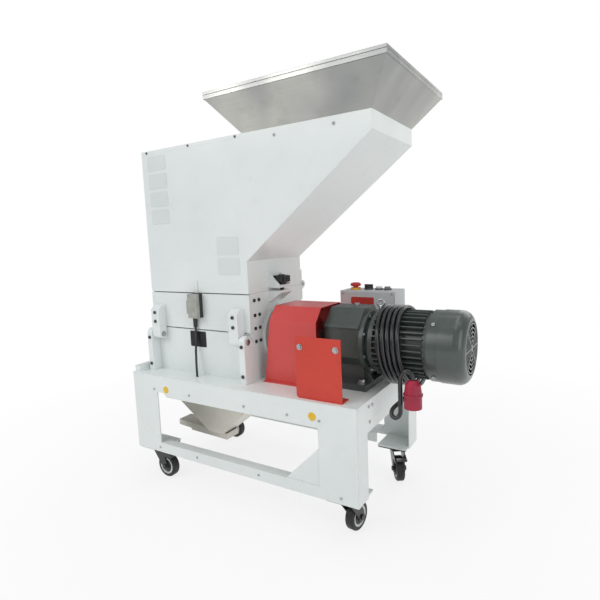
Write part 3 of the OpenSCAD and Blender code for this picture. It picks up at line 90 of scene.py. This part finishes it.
def make_camera():
    az, pitch, roll = (math.radians(a) for a in (AZIMUTH, PITCH_DOWN, ROLL))
    look = Vector((-math.sin(az) * math.cos(pitch), math.cos(az) * math.cos(pitch), -math.sin(pitch)))
    flat = Vector((math.cos(az), math.sin(az), 0))
    rise = flat.cross(look)
    right = flat * math.cos(roll) + rise * math.sin(roll)
    up = right.cross(look)
    cam = bpy.data.cameras.new("camera")
    cam.sensor_width = SENSOR
    cam.lens = FOCAL_PX / PHOTO_SIDE * SENSOR
    cam.shift_x = (PHOTO_SIDE / 2 - AXIS_PX[0]) / PHOTO_SIDE
    cam.shift_y = (AXIS_PX[1] - PHOTO_SIDE / 2) / PHOTO_SIDE
    cam.clip_end = 50
    o = add_object("camera", cam)
    m = Matrix((right, up, -look)).transposed().to_4x4()
    m.translation = P(*CAMERA_AT)
    o.matrix_world = m
    bpy.context.scene.camera = o


make_camera()


# Cords
def smooth(points, step=3.0):
    """Catmull-Rom points along a route, in millimetres."""
    p = [Vector(q) for q in points]
    p = [p[0] * 2 - p[1]] + p + [p[-1] * 2 - p[-2]]
    out = []
    for i in range(1, len(p) - 2):
        a, b, c, d = p[i - 1], p[i], p[i + 1], p[i + 2]
        n = max(1, int((c - b).length / step))
        for k in range(n):
            t = k / n
            out.append(0.5 * ((2 * b) + (c - a) * t + (2 * a - 5 * b + 4 * c - d) * t * t
                              + (3 * b - a - 3 * c + d) * t ** 3))
    out.append(p[-2])
    return out


def tube(name, points, radius):
    """A round mesh tube along points in millimetres: the object, its length and its path in metres."""
    cu = bpy.data.curves.new(name, "CURVE")
    cu.dimensions = "3D"
    cu.bevel_depth = radius
    cu.bevel_resolution = 5
    cu.use_fill_caps = True
    sp = cu.splines.new("POLY")
    pts = [P(*q) for q in points]
    sp.points.add(len(pts) - 1)
    for q, v in zip(sp.points, pts):
        q.co = (v.x, v.y, v.z, 1)
    sp.use_smooth = True
    curve = add_object(name + "_curve", cu)
    bpy.context.view_layer.update()
    me = bpy.data.meshes.new_from_object(curve.evaluated_get(bpy.context.evaluated_depsgraph_get()))
    bpy.data.objects.remove(curve)
    bpy.data.curves.remove(cu)
    me.name = name
    for p in me.polygons:
        p.use_smooth = len(p.vertices) == 4
    length = sum((b - a).length for a, b in zip(pts, pts[1:]))
    return add_object(name, me), length, [tuple(q) for q in pts]


CORD_D, LEAD_D = 0.011, 0.007
CORD_EXIT = (770, 374, 430)
TURNS, PITCH = 5, 13
WIND_X, WIND_Y, WIND_Z = 786, 211, 466
WIND_RY, WIND_RZ, WIND_LEAN = 97, 99, 16
RUN_IN = 11


def winding(degrees):
    """A point of the winding: a helix that leans along the motor."""
    a = math.radians(degrees)
    return (WIND_X + PITCH * degrees / 360 + WIND_LEAN * math.cos(a), WIND_Y - WIND_RY * math.sin(a),
            WIND_Z - WIND_RZ * math.cos(a))


start = (WIND_X + WIND_LEAN, WIND_Y, WIND_Z - WIND_RZ)
end = (start[0] + TURNS * PITCH, start[1], start[2])
feed = [CORD_EXIT, (785, 374, 430), (797, 371, 428), (803, 362, 420), (804, 348, 408), (802, 330, 396),
        (799, 308, 385), (799, 284, 375), (801, 258, 369),
        (start[0], start[1] + 2 * RUN_IN, start[2]), (start[0], start[1] + RUN_IN, start[2])]
wind = [winding(s) for s in range(0, 360 * TURNS + 1, 10)]
tail = [(end[0], end[1] - RUN_IN, end[2]), (866, 184, 366), (862, 162, 361), (852, 138, 352),
        (841, 116, 341), (833, 101, 333), (830, 93, 325), (833, 88, 317), (841, 86, 313), (849, 88, 317),
        (853, 91, 326), (853, 92, 340), (853, 92, 370), (853, 92, 400), (855, 92, 416), (861, 92, 427),
        (869, 92, 431), (877, 92, 429), (883, 92, 422), (884, 92, 416), (884, 92, 411)]
cord, cord_length, cord_path = tube("power_cord", smooth(feed + wind + tail), CORD_D / 2)
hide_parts("cord_feed", "cord_winding", "cord_tail")
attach(cord, "base")

lead_route = smooth([(222, 65, 471), (222, 64.4, 462), (223, 62, 450), (225, 57, 430),
                     (229, 52, 410), (233, 47, 390), (236, 44, 370), (236, 44, 350), (239, 44, 342),
                     (248, 44, 338), (570, 44, 338), (582, 49, 338), (587, 61, 338), (587, 367, 338),
                     (587, 375, 342), (587, 379, 350), (587, 379, 389)], 4)
lead = tube("lead", lead_route, LEAD_D / 2)[0]
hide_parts("interlock_lead")
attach(lead, "base")


# Materials
EDGE_SOFT = 0.0002


def srgb(r, g, b):
    def f(c):
        c /= 255
        return c / 12.92 if c <= 0.04045 else ((c + 0.055) / 1.055) ** 2.4
    return (f(r), f(g), f(b), 1)


def darker(colour, share):
    return tuple(c * share for c in colour[:3]) + (1,)


class Mat:
    """A node material with a coordinate, colour layers, roughness and bump."""

    def __init__(self, name, metallic=0.0, coat=0.0, anisotropy=0.0):
        self.m = bpy.data.materials.new(name)
        self.m.use_nodes = True
        self.t = self.m.node_tree
        self.t.nodes.clear()
        out = self.new("ShaderNodeOutputMaterial")
        self.b = self.new("ShaderNodeBsdfPrincipled")
        self.link(self.b.outputs[0], out.inputs[0])
        self.b.inputs["Metallic"].default_value = metallic
        self.b.inputs["Coat Weight"].default_value = coat
        self.b.inputs["Coat Roughness"].default_value = 0.15
        self.b.inputs["Anisotropic"].default_value = anisotropy
        self.coord = self.new("ShaderNodeTexCoord").outputs["Object"]

    def new(self, kind, **values):
        return add_node(self.t, kind, **values)

    def link(self, a, b):
        self.t.links.new(a, b)

    def noise(self, scale, detail=4.0, rough=0.55, stretch=(1, 1, 1), distortion=0.0):
        mp = self.new("ShaderNodeMapping")
        mp.inputs["Scale"].default_value = stretch
        self.link(self.coord, mp.inputs["Vector"])
        n = self.new("ShaderNodeTexNoise")
        n.inputs["Scale"].default_value = scale
        n.inputs["Detail"].default_value = detail
        n.inputs["Roughness"].default_value = rough
        n.inputs["Distortion"].default_value = distortion
        self.link(mp.outputs[0], n.inputs["Vector"])
        return n.outputs["Fac"]

    def ramp(self, fac, lo, hi, a=0.0, b=1.0):
        """A value from a to b as fac goes from lo to hi."""
        r = self.new("ShaderNodeMapRange")
        r.clamp = True
        self.link(fac, r.inputs["Value"])
        for key, v in (("From Min", lo), ("From Max", hi), ("To Min", a), ("To Max", b)):
            r.inputs[key].default_value = v
        return r.outputs["Result"]

    def mix(self, fac, a, b):
        n = self.new("ShaderNodeMix", data_type="RGBA")
        self.link(fac, n.inputs[0])
        for i, v in ((6, a), (7, b)):
            if isinstance(v, tuple):
                n.inputs[i].default_value = v
            else:
                self.link(v, n.inputs[i])
        return n.outputs[2]

    def maths(self, op, a, b):
        n = self.new("ShaderNodeMath", operation=op)
        for i, v in enumerate((a, b)):
            if isinstance(v, float):
                n.inputs[i].default_value = v
            else:
                self.link(v, n.inputs[i])
        return n.outputs[0]

    def drift(self, scale, detail, a, b, lo=0.3, hi=0.7, rough=0.55):
        """A value that drifts between a and b in soft patches."""
        return self.ramp(self.noise(scale, detail, rough), lo, hi, a, b)

    def mottle(self, scale, detail, a, b, lo=0.3, hi=0.7, rough=0.55):
        """Two colours in soft patches."""
        return self.mix(self.drift(scale, detail, 0.0, 1.0, lo, hi, rough), a, b)

    def edge(self, radius=0.0015):
        """How much a surface point lies on an outer edge, 0 to 1."""
        bev = self.new("ShaderNodeBevel", samples=4)
        bev.inputs["Radius"].default_value = radius
        geo = self.new("ShaderNodeNewGeometry")
        dot = self.new("ShaderNodeVectorMath", operation="DOT_PRODUCT")
        self.link(bev.outputs[0], dot.inputs[0])
        self.link(geo.outputs["Normal"], dot.inputs[1])
        return self.ramp(self.maths("SUBTRACT", 1.0, dot.outputs["Value"]), 0.02, 0.22)

    def from_axis(self, centre, axis):
        """The distance from an axis through centre, in metres."""
        sub = self.new("ShaderNodeVectorMath", operation="SUBTRACT")
        self.link(self.coord, sub.inputs[0])
        sub.inputs[1].default_value = centre
        cross = self.new("ShaderNodeVectorMath", operation="CROSS_PRODUCT")
        self.link(sub.outputs[0], cross.inputs[0])
        cross.inputs[1].default_value = axis
        length = self.new("ShaderNodeVectorMath", operation="LENGTH")
        self.link(cross.outputs[0], length.inputs[0])
        return length.outputs["Value"]

    def beyond(self, value, limit):
        """0 below a limit in metres and 1 above it."""
        return self.ramp(value, limit - EDGE_SOFT, limit + EDGE_SOFT)

    def between(self, index, lo, hi):
        """1 where the object coordinate on one axis lies between lo and hi, in metres."""
        sep = self.new("ShaderNodeSeparateXYZ")
        self.link(self.coord, sep.inputs[0])
        c = sep.outputs[index]
        below = self.ramp(c, hi - EDGE_SOFT, hi + EDGE_SOFT, 1.0, 0.0)
        return self.maths("MULTIPLY", self.beyond(c, lo), below)

    def finish(self, colour, rough, height, strength, distance, round_r=0.0012):
        self.link(colour, self.b.inputs["Base Color"])
        self.link(rough, self.b.inputs["Roughness"])
        bev = self.new("ShaderNodeBevel", samples=4)
        bev.inputs["Radius"].default_value = round_r
        bump = self.new("ShaderNodeBump")
        bump.inputs["Strength"].default_value = strength
        bump.inputs["Distance"].default_value = distance
        self.link(height, bump.inputs["Height"])
        self.link(bev.outputs[0], bump.inputs["Normal"])
        self.link(bump.outputs[0], self.b.inputs["Normal"])
        return self.m


def paint(name, colour, dark, rough, coat, worn=None, worn_amount=0.35, peel=900, peel_strength=0.06):
    """Sprayed or powder coated metal: slight tone drift, orange peel, soft dust and worn edges."""
    m = Mat(name, coat=coat)
    tone = m.mottle(3.5, 3, colour, dark, 0.3, 0.75)
    dust = m.ramp(m.noise(26, 6, 0.7, distortion=0.6), 0.56, 0.74, 0.0, 0.35)
    tone = m.mix(dust, tone, darker(dark, 0.9))
    if worn:
        mask = m.maths("MULTIPLY", m.edge(), m.drift(60, 5, 0.0, worn_amount, 0.5, 0.68, 0.7))
        tone = m.mix(mask, tone, worn)
    return m.finish(tone, m.drift(18, 5, rough - 0.05, rough + 0.08), m.noise(peel, 2), peel_strength, 0.0004)


def brushed(name, colour, dark, rough, stretch, metallic, anisotropy, marks=0.35):
    """Brushed or ground steel: fine parallel lines, soft clouding and a few scuffs."""
    m = Mat(name, metallic=metallic, anisotropy=anisotropy)
    lines = m.noise(3.0, 5, 0.7, stretch)
    cloud = m.noise(7, 4, 0.6)
    tone = m.mix(m.ramp(lines, 0.3, 0.7), colour, dark)
    tone = m.mix(m.ramp(cloud, 0.4, 0.75, 0.0, marks), tone, darker(dark, 0.72))
    r = m.maths("ADD", m.ramp(lines, 0.2, 0.8, rough - 0.06, rough + 0.1), m.ramp(cloud, 0.4, 0.7, 0.0, 0.08))
    return m.finish(tone, r, lines, 0.12, 0.0002)


def moulded(name, colour, dark, rough=0.5, grain=700, strength=0.15, coat=0.0):
    """Moulded plastic or rubber with a fine grain and a little handling polish."""
    m = Mat(name, coat=coat)
    tone = m.mottle(20, 5, colour, dark, 0.35)
    r = m.drift(30, 5, rough - 0.08, rough + 0.1, rough=0.6)
    return m.finish(tone, r, m.noise(grain, 3), strength, 0.0003, 0.0008)


def casting(name, colour, dark, rubbed):
    """Painted castings: sand texture under enamel, and bright rubbed edges."""
    m = Mat(name, coat=0.2)
    tone = m.mottle(9, 5, colour, dark, rough=0.6)
    rub = m.maths("MULTIPLY", m.edge(0.002), m.drift(80, 5, 0.0, 0.5, 0.42, 0.66, 0.7))
    tone = m.mix(rub, tone, rubbed)
    height = m.maths("ADD", m.noise(260, 4, 0.6), m.noise(60, 3))
    return m.finish(tone, m.drift(40, 5, 0.36, 0.56), height, 0.22, 0.0005, 0.0016)


def funnel_mat():
    """Brushed stainless sheet with soft upright bands of painted reflection, light and dark, as a bright room
    would leave on it.
    """
    m = Mat("stainless_brushed", metallic=1.0, anisotropy=0.45)
    lines = m.noise(3.0, 5, 0.7, (3, 260, 260))
    # Painted reflection: soft upright bands, lighter and darker, mixed into the colour of the steel.
    painted_reflection_bands = m.noise(2.2, 3, 0.5, (1.6, 1.6, 0.25), 0.4)
    tone = m.mix(m.ramp(painted_reflection_bands, 0.34, 0.66), srgb(204, 203, 196), srgb(156, 158, 158))
    tone = m.mix(m.ramp(lines, 0.3, 0.7, 0.0, 0.3), tone, srgb(150, 150, 146))
    tone = m.mix(m.drift(14, 5, 0.0, 0.25, 0.56, 0.75, 0.65), tone, srgb(128, 126, 118))
    r = m.maths("ADD", m.ramp(lines, 0.2, 0.8, 0.28, 0.42), m.ramp(painted_reflection_bands, 0.4, 0.7, 0.0, 0.08))
    return m.finish(tone, r, lines, 0.1, 0.0002)


def wheel_mat(name, centre, axis):
    """A caster wheel: bolt, grey nylon hub, pale ring and black tread, told apart by radius."""
    bolt_r, hub_r, ring_r = 0.006, 0.021, 0.027
    m = Mat(name)
    r = m.from_axis(centre, axis)
    hub = m.mottle(60, 4, srgb(92, 93, 96), srgb(70, 71, 74))
    ring = m.mottle(90, 4, srgb(226, 227, 229), srgb(178, 178, 178), 0.4)
    tread = m.mottle(50, 6, srgb(24, 24, 25), srgb(48, 47, 45), 0.45, 0.7, 0.7)
    bolt = m.mottle(300, 3, srgb(150, 150, 150), srgb(110, 110, 112))
    tone = m.mix(m.beyond(r, hub_r), hub, ring)
    tone = m.mix(m.beyond(r, ring_r), tone, tread)
    tone = m.mix(m.beyond(r, bolt_r), bolt, tone)
    return m.finish(tone, m.drift(70, 4, 0.45, 0.62), m.noise(420, 4), 0.2, 0.0004, 0.001)


def plate_mat():
    """Black caster plates whose swivel race below is yellow passivated."""
    m = Mat("caster_plate", metallic=0.55)
    black = m.mottle(40, 4, srgb(34, 35, 37), srgb(22, 23, 24))
    brass = m.mottle(90, 4, srgb(196, 164, 74), srgb(150, 118, 48))
    tone = m.mix(m.between(2, 0.080, 0.1005), black, brass)
    return m.finish(tone, m.drift(60, 4, 0.32, 0.46), m.noise(300, 3), 0.1, 0.0003, 0.0008)


def switch_mat():
    """Die cast interlock body in grey, on a black back and boot."""
    m = Mat("interlock", coat=0.1)
    cast = m.mottle(50, 5, srgb(176, 177, 170), srgb(150, 151, 145), rough=0.6)
    dark = m.mottle(40, 4, srgb(48, 50, 54), srgb(32, 34, 37))
    tone = m.mix(m.between(1, -0.3, -0.1605), dark, cast)
    return m.finish(tone, m.drift(60, 4, 0.38, 0.52), m.noise(380, 4), 0.14, 0.0003, 0.001)


def bezel_mat(x_limit):
    """Button bezels: the stop button's is yellow, the others are dull metal."""
    m = Mat("button_bezel", coat=0.2)
    yellow = m.mottle(40, 4, srgb(240, 178, 40), srgb(220, 154, 30))
    metal = m.mottle(160, 4, srgb(104, 107, 110), srgb(72, 75, 78))
    tone = m.mix(m.between(0, -1.0, x_limit), metal, yellow)
    return m.finish(tone, m.drift(80, 4, 0.3, 0.44), m.noise(700, 3), 0.06, 0.0003, 0.0006)


def cowl_mat(centre, radius):
    """Green enamel on the fan cowl; what stands over its sheet is bright zinc."""
    m = Mat("cowl_green", coat=0.4)
    green = m.mottle(6, 4, srgb(72, 82, 79), srgb(58, 67, 65), 0.3, 0.75)
    green = m.mix(m.drift(34, 6, 0.0, 0.3, 0.55, 0.75, 0.7), green, srgb(96, 102, 98))
    zinc = m.mottle(300, 3, srgb(214, 215, 214), srgb(176, 178, 178))
    over = m.ramp(m.from_axis(centre, (1, 0, 0)), radius + 0.0002, radius + 0.0005)
    tone = m.mix(over, green, zinc)
    return m.finish(tone, m.drift(20, 5, 0.3, 0.42), m.noise(600, 2), 0.08, 0.0004, 0.0012)


ZINC = brushed("zinc", srgb(196, 198, 200), srgb(160, 162, 166), 0.3, (60, 60, 60), 1.0, 0.0)
RUBBER = moulded("cord_rubber", srgb(27, 29, 33), srgb(17, 18, 21), 0.3, 380, 0.06, 0.4)
DOOR_WHITE = paint("white_panel", srgb(234, 239, 238), srgb(225, 231, 230), 0.34, 0.3, srgb(190, 192, 194), 0.5)
CHUTE_STEEL = brushed("stainless_chute", srgb(222, 219, 210), srgb(192, 189, 180), 0.38, (260, 260, 5), 1.0, 0.4)
DARK_PLATE = brushed("dark_plate", srgb(46, 48, 52), srgb(30, 32, 35), 0.35, (4, 300, 300), 0.5, 0.2)
BARE_PLATE = paint("bare_plate", srgb(226, 232, 231), srgb(216, 222, 221), 0.5, 0.0)
RED_PLATE = paint("red_plate", srgb(196, 58, 48), srgb(176, 46, 40), 0.4, 0.2)
HOOK_DISC = paint("hook_disc", srgb(238, 196, 40), srgb(222, 176, 34), 0.42, 0.2)

# The look of each material slot of the record
LOOK = {
    "white_paint": paint("white_paint", srgb(237, 242, 241), srgb(227, 233, 232), 0.36, 0.3,
                         srgb(196, 198, 200), 0.4),
    "zinc": ZINC,
    "tool_steel": brushed("tool_steel", srgb(166, 170, 176), srgb(122, 126, 132), 0.26, (500, 8, 8),
                          1.0, 0.3, 0.5),
    "stainless": funnel_mat(),
    "black_oxide": brushed("black_oxide", srgb(104, 106, 109), srgb(66, 68, 71), 0.36, (80, 80, 80), 0.9, 0.0),
    "black_paint": paint("black_enamel", srgb(26, 27, 29), srgb(18, 19, 20), 0.36, 0.3,
                         srgb(96, 96, 98), 0.6, 500, 0.1),
    "guard_red": paint("guard_red", srgb(218, 72, 68), srgb(202, 58, 56), 0.36, 0.35, srgb(240, 150, 140), 0.35),
    "shield_red": paint("shield_red", srgb(212, 54, 32), srgb(194, 44, 27), 0.38, 0.3, srgb(236, 130, 104), 0.4),
    "drive_green": casting("drive_green", srgb(78, 86, 83), srgb(60, 68, 66), srgb(128, 138, 134)),
    "fan_plastic": moulded("fan_plastic", srgb(40, 42, 44), srgb(26, 27, 29)),
    "switch_plastic": moulded("switch_plastic", srgb(36, 38, 41), srgb(24, 25, 27), 0.42),
    "box_grey": paint("box_grey", srgb(206, 209, 210), srgb(190, 193, 195), 0.45, 0.1,
                      srgb(160, 160, 160), 0.4, 420, 0.2),
    "button_red": moulded("button_red", srgb(206, 30, 26), srgb(176, 20, 20), 0.3, 900, 0.04, 0.4),
    "button_white": moulded("button_white", srgb(234, 236, 236), srgb(212, 214, 214), 0.35, 900, 0.04, 0.2),
    "button_grey": moulded("button_grey", srgb(128, 132, 136), srgb(100, 104, 108), 0.35, 900, 0.04, 0.2),
    "cord_rubber": RUBBER,
    "plug_crimson": moulded("plug_crimson", srgb(178, 26, 62), srgb(140, 20, 50), 0.42, 500, 0.12, 0.1),
}

# Nodes that look different from the rest of their slot
OWN_LOOK = {
    "front_door": DOOR_WHITE,
    "lower_panel": DOOR_WHITE,
    "discharge_chute": CHUTE_STEEL,
    "outlet_duct": CHUTE_STEEL,
    "fan_cowl": cowl_mat(P(0, AXIS_Y, AXIS_Z), COWL_R / 1000),
    "caster_plates": plate_mat(),
    "button_bases": bezel_mat(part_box("stop_button")[1][0] + 0.003),
    "interlock_switch": switch_mat(),
}
for key, turn in SWIVEL_TURNS.items():
    low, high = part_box("caster_wheel_" + key)
    a = math.radians(turn)
    OWN_LOOK["caster_wheel_" + key] = wheel_mat("wheel_" + key, (Vector(low) + Vector(high)) / 2,
                                                (-math.sin(a), math.cos(a), 0))


def dress(obj, mat):
    if not obj.material_slots:
        obj.data.materials.append(mat)
    for s in obj.material_slots:
        s.material = mat


for entry in frame["record"]["subparts"]:
    own = OWN_LOOK.get(entry["node"])
    dress(NODES[entry["node"]], own or LOOK[entry["material_slot"]])
dress(cord, RUBBER)
dress(lead, RUBBER)


# Small surface pieces
def add_piece(name, bm, mat, body, rounded):
    """Makes a piece of a bmesh, with its material and body."""
    bmesh.ops.recalc_face_normals(bm, faces=bm.faces)
    me = bpy.data.meshes.new(name)
    bm.to_mesh(me)
    bm.free()
    for p in me.polygons:
        p.use_smooth = rounded
    o = add_object(name, me)
    dress(o, mat)
    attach(o, body)


def plate(name, place, y, thick, round_r, mat, body):
    """A thin plate with round corners, on a face that looks to the front; place is x0, x1, z0, z1."""
    x0, x1, z0, z1 = place
    corners = [P(x, y, z) for x, z in ((x0, z0), (x1, z0), (x1, z1), (x0, z1))]
    bm = bmesh.new()
    low = [bm.verts.new(c) for c in corners]
    high = [bm.verts.new(c + Vector((0, -thick / 1000, 0))) for c in corners]
    bm.faces.new(low[::-1])
    bm.faces.new(high)
    for i in range(4):
        j = (i + 1) % 4
        bm.faces.new((low[i], low[j], high[j], high[i]))
    upright = [e for e in bm.edges if (e.verts[0] in low) != (e.verts[1] in low)]
    bmesh.ops.bevel(bm, geom=upright, offset=round_r / 1000, segments=4, affect="EDGES")
    add_piece(name, bm, mat, body, False)


def disc(name, centre, r, thick, mat, body, socket=False, out=(0, -1, 0)):
    """A round disc on a face that looks along out, with a rolled edge, or a screw head with its socket."""
    turn = Vector(out).to_track_quat("Z", "Y")
    rings = [(r, 0), (r, thick * 0.6), (r * 0.94, thick), (r * 0.5, thick * 1.05)]
    if socket:
        rings = [(r, 0), (r, thick * 0.7), (r * 0.86, thick), (r * 0.55, thick), (r * 0.5, thick * 0.3)]
    n = 40
    bm = bmesh.new()
    loops = []
    for rad, h in rings:
        ring = [turn @ Vector((rad * math.cos(2 * math.pi * i / n), rad * math.sin(2 * math.pi * i / n), h))
                for i in range(n)]
        loops.append([bm.verts.new(P(*(c + d for c, d in zip(centre, v)))) for v in ring])
    for a, b in zip(loops, loops[1:]):
        for i in range(n):
            j = (i + 1) % n
            bm.faces.new((a[i], a[j], b[j], b[i]))
    bm.faces.new(loops[-1])
    add_piece(name, bm, mat, body, True)


plate("maker_plate_bare", (192, 256, 438, 486), CHAMBER_Y, 0.8, 2, DARK_PLATE, "base")
disc("hook_disc_left", (144.6, 0, 311.6), 11, 0.6, HOOK_DISC, "base")
disc("hook_disc_right", (658.8, 0, 315.7), 11, 0.6, HOOK_DISC, "base")

lid_y = (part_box("box_lid")[0][1] + MID_Y) * 1000
plate("box_plate", (616, 690, 550, 571), lid_y, 0.6, 2, RED_PLATE, "base")

for i, (x, z) in enumerate(((535, 1017.6), (706, 1018.7))):
    disc("funnel_screw_%d" % i, (x, CHAMBER_Y, z), 4, 2.5, ZINC, "hopper", True)

for i in range(4):
    a = math.radians(45 + 90 * i)
    y, z = math.sin(a), math.cos(a)
    disc("cowl_screw_%d" % i, (COWL_SCREW_X, AXIS_Y + COWL_R * y, AXIS_Z + COWL_R * z), 5, 2.4,
         ZINC, "base", True, (0, y, z))

BARE_LABELS = ((58, 136, 976, 1020), (60, 137, 922, 966), (60, 137, 868, 912), (60, 137, 814, 858),
               (320, 400, 714, 766), (320, 401, 658, 706))
for i, place in enumerate(BARE_LABELS):
    plate("bare_label_%d" % i, place, CHAMBER_Y, 0.4, 3, BARE_PLATE, "hopper")


# Stage and light
def stage_mat():
    """A pale floor that the camera and reflections see as plain white, with a soft shade near the object."""
    m = bpy.data.materials.new("stage")
    m.use_nodes = True
    t = m.node_tree
    t.nodes.clear()
    link = t.links.new
    out = add_node(t, "ShaderNodeOutputMaterial")
    diffuse = add_node(t, "ShaderNodeBsdfDiffuse")
    diffuse.inputs[0].default_value = (0.9, 0.9, 0.9, 1)
    white = add_node(t, "ShaderNodeEmission")
    white.inputs[0].default_value = (1, 1, 1, 1)
    rays = add_node(t, "ShaderNodeLightPath")
    seen = add_node(t, "ShaderNodeMath", operation="MAXIMUM")
    link(rays.outputs["Is Camera Ray"], seen.inputs[0])
    link(rays.outputs["Is Glossy Ray"], seen.inputs[1])
    coord = add_node(t, "ShaderNodeTexCoord")
    distance = add_node(t, "ShaderNodeVectorMath", operation="LENGTH")
    link(coord.outputs["Object"], distance.inputs[0])
    fade = add_node(t, "ShaderNodeMapRange")
    link(distance.outputs["Value"], fade.inputs["Value"])
    for key, v in (("From Min", 0.55), ("From Max", 1.7), ("To Min", 0.8), ("To Max", 1.0)):
        fade.inputs[key].default_value = v
    share = add_node(t, "ShaderNodeMath", operation="MULTIPLY")
    link(seen.outputs[0], share.inputs[0])
    link(fade.outputs["Result"], share.inputs[1])
    mix = add_node(t, "ShaderNodeMixShader")
    link(share.outputs[0], mix.inputs[0])
    link(diffuse.outputs[0], mix.inputs[1])
    link(white.outputs[0], mix.inputs[2])
    link(mix.outputs[0], out.inputs[0])
    return m


def stage_floor():
    bm = bmesh.new()
    bmesh.ops.create_circle(bm, cap_ends=True, radius=14, segments=96)
    me = bpy.data.meshes.new("floor")
    bm.to_mesh(me)
    bm.free()
    o = add_object("floor", me)
    o.data.materials.append(stage_mat())


def studio_world():
    """Soft pale light from all round, and plain white where the camera looks past the object."""
    world = bpy.data.worlds.new("studio")
    bpy.context.scene.world = world
    world.use_nodes = True
    t = world.node_tree
    t.nodes.clear()
    link = t.links.new
    out = add_node(t, "ShaderNodeOutputWorld")
    light = add_node(t, "ShaderNodeBackground")
    light.inputs[0].default_value = (0.93, 0.95, 0.95, 1)
    light.inputs[1].default_value = 0.42
    white = add_node(t, "ShaderNodeBackground")
    white.inputs[0].default_value = (1, 1, 1, 1)
    rays = add_node(t, "ShaderNodeLightPath")
    mix = add_node(t, "ShaderNodeMixShader")
    link(rays.outputs["Is Camera Ray"], mix.inputs[0])
    link(light.outputs[0], mix.inputs[1])
    link(white.outputs[0], mix.inputs[2])
    link(mix.outputs[0], out.inputs[0])


def area(name, where, at, size, power):
    """A rectangular light, with its place and target in metres and its power in watts."""
    li = bpy.data.lights.new(name, "AREA")
    li.shape = "RECTANGLE"
    li.size, li.size_y = size
    li.energy = power
    o = add_object(name, li)
    o.location = where
    o.rotation_euler = (Vector(at) - Vector(where)).to_track_quat("-Z", "Y").to_euler()


stage_floor()
studio_world()
area("key", (-1.6, -2.8, 2.6), (0, 0, 0.6), (2.4, 2.0), 46)
area("fill", (3.0, -1.2, 1.6), (0.1, 0, 0.55), (2.0, 2.2), 26)
area("top", (0.2, 0.2, 3.4), (0, 0, 0.6), (2.6, 2.2), 30)
area("back", (0.8, 2.8, 1.8), (0, 0, 0.6), (2.2, 1.8), 14)
bpy.context.scene.view_settings.view_transform = "Standard"
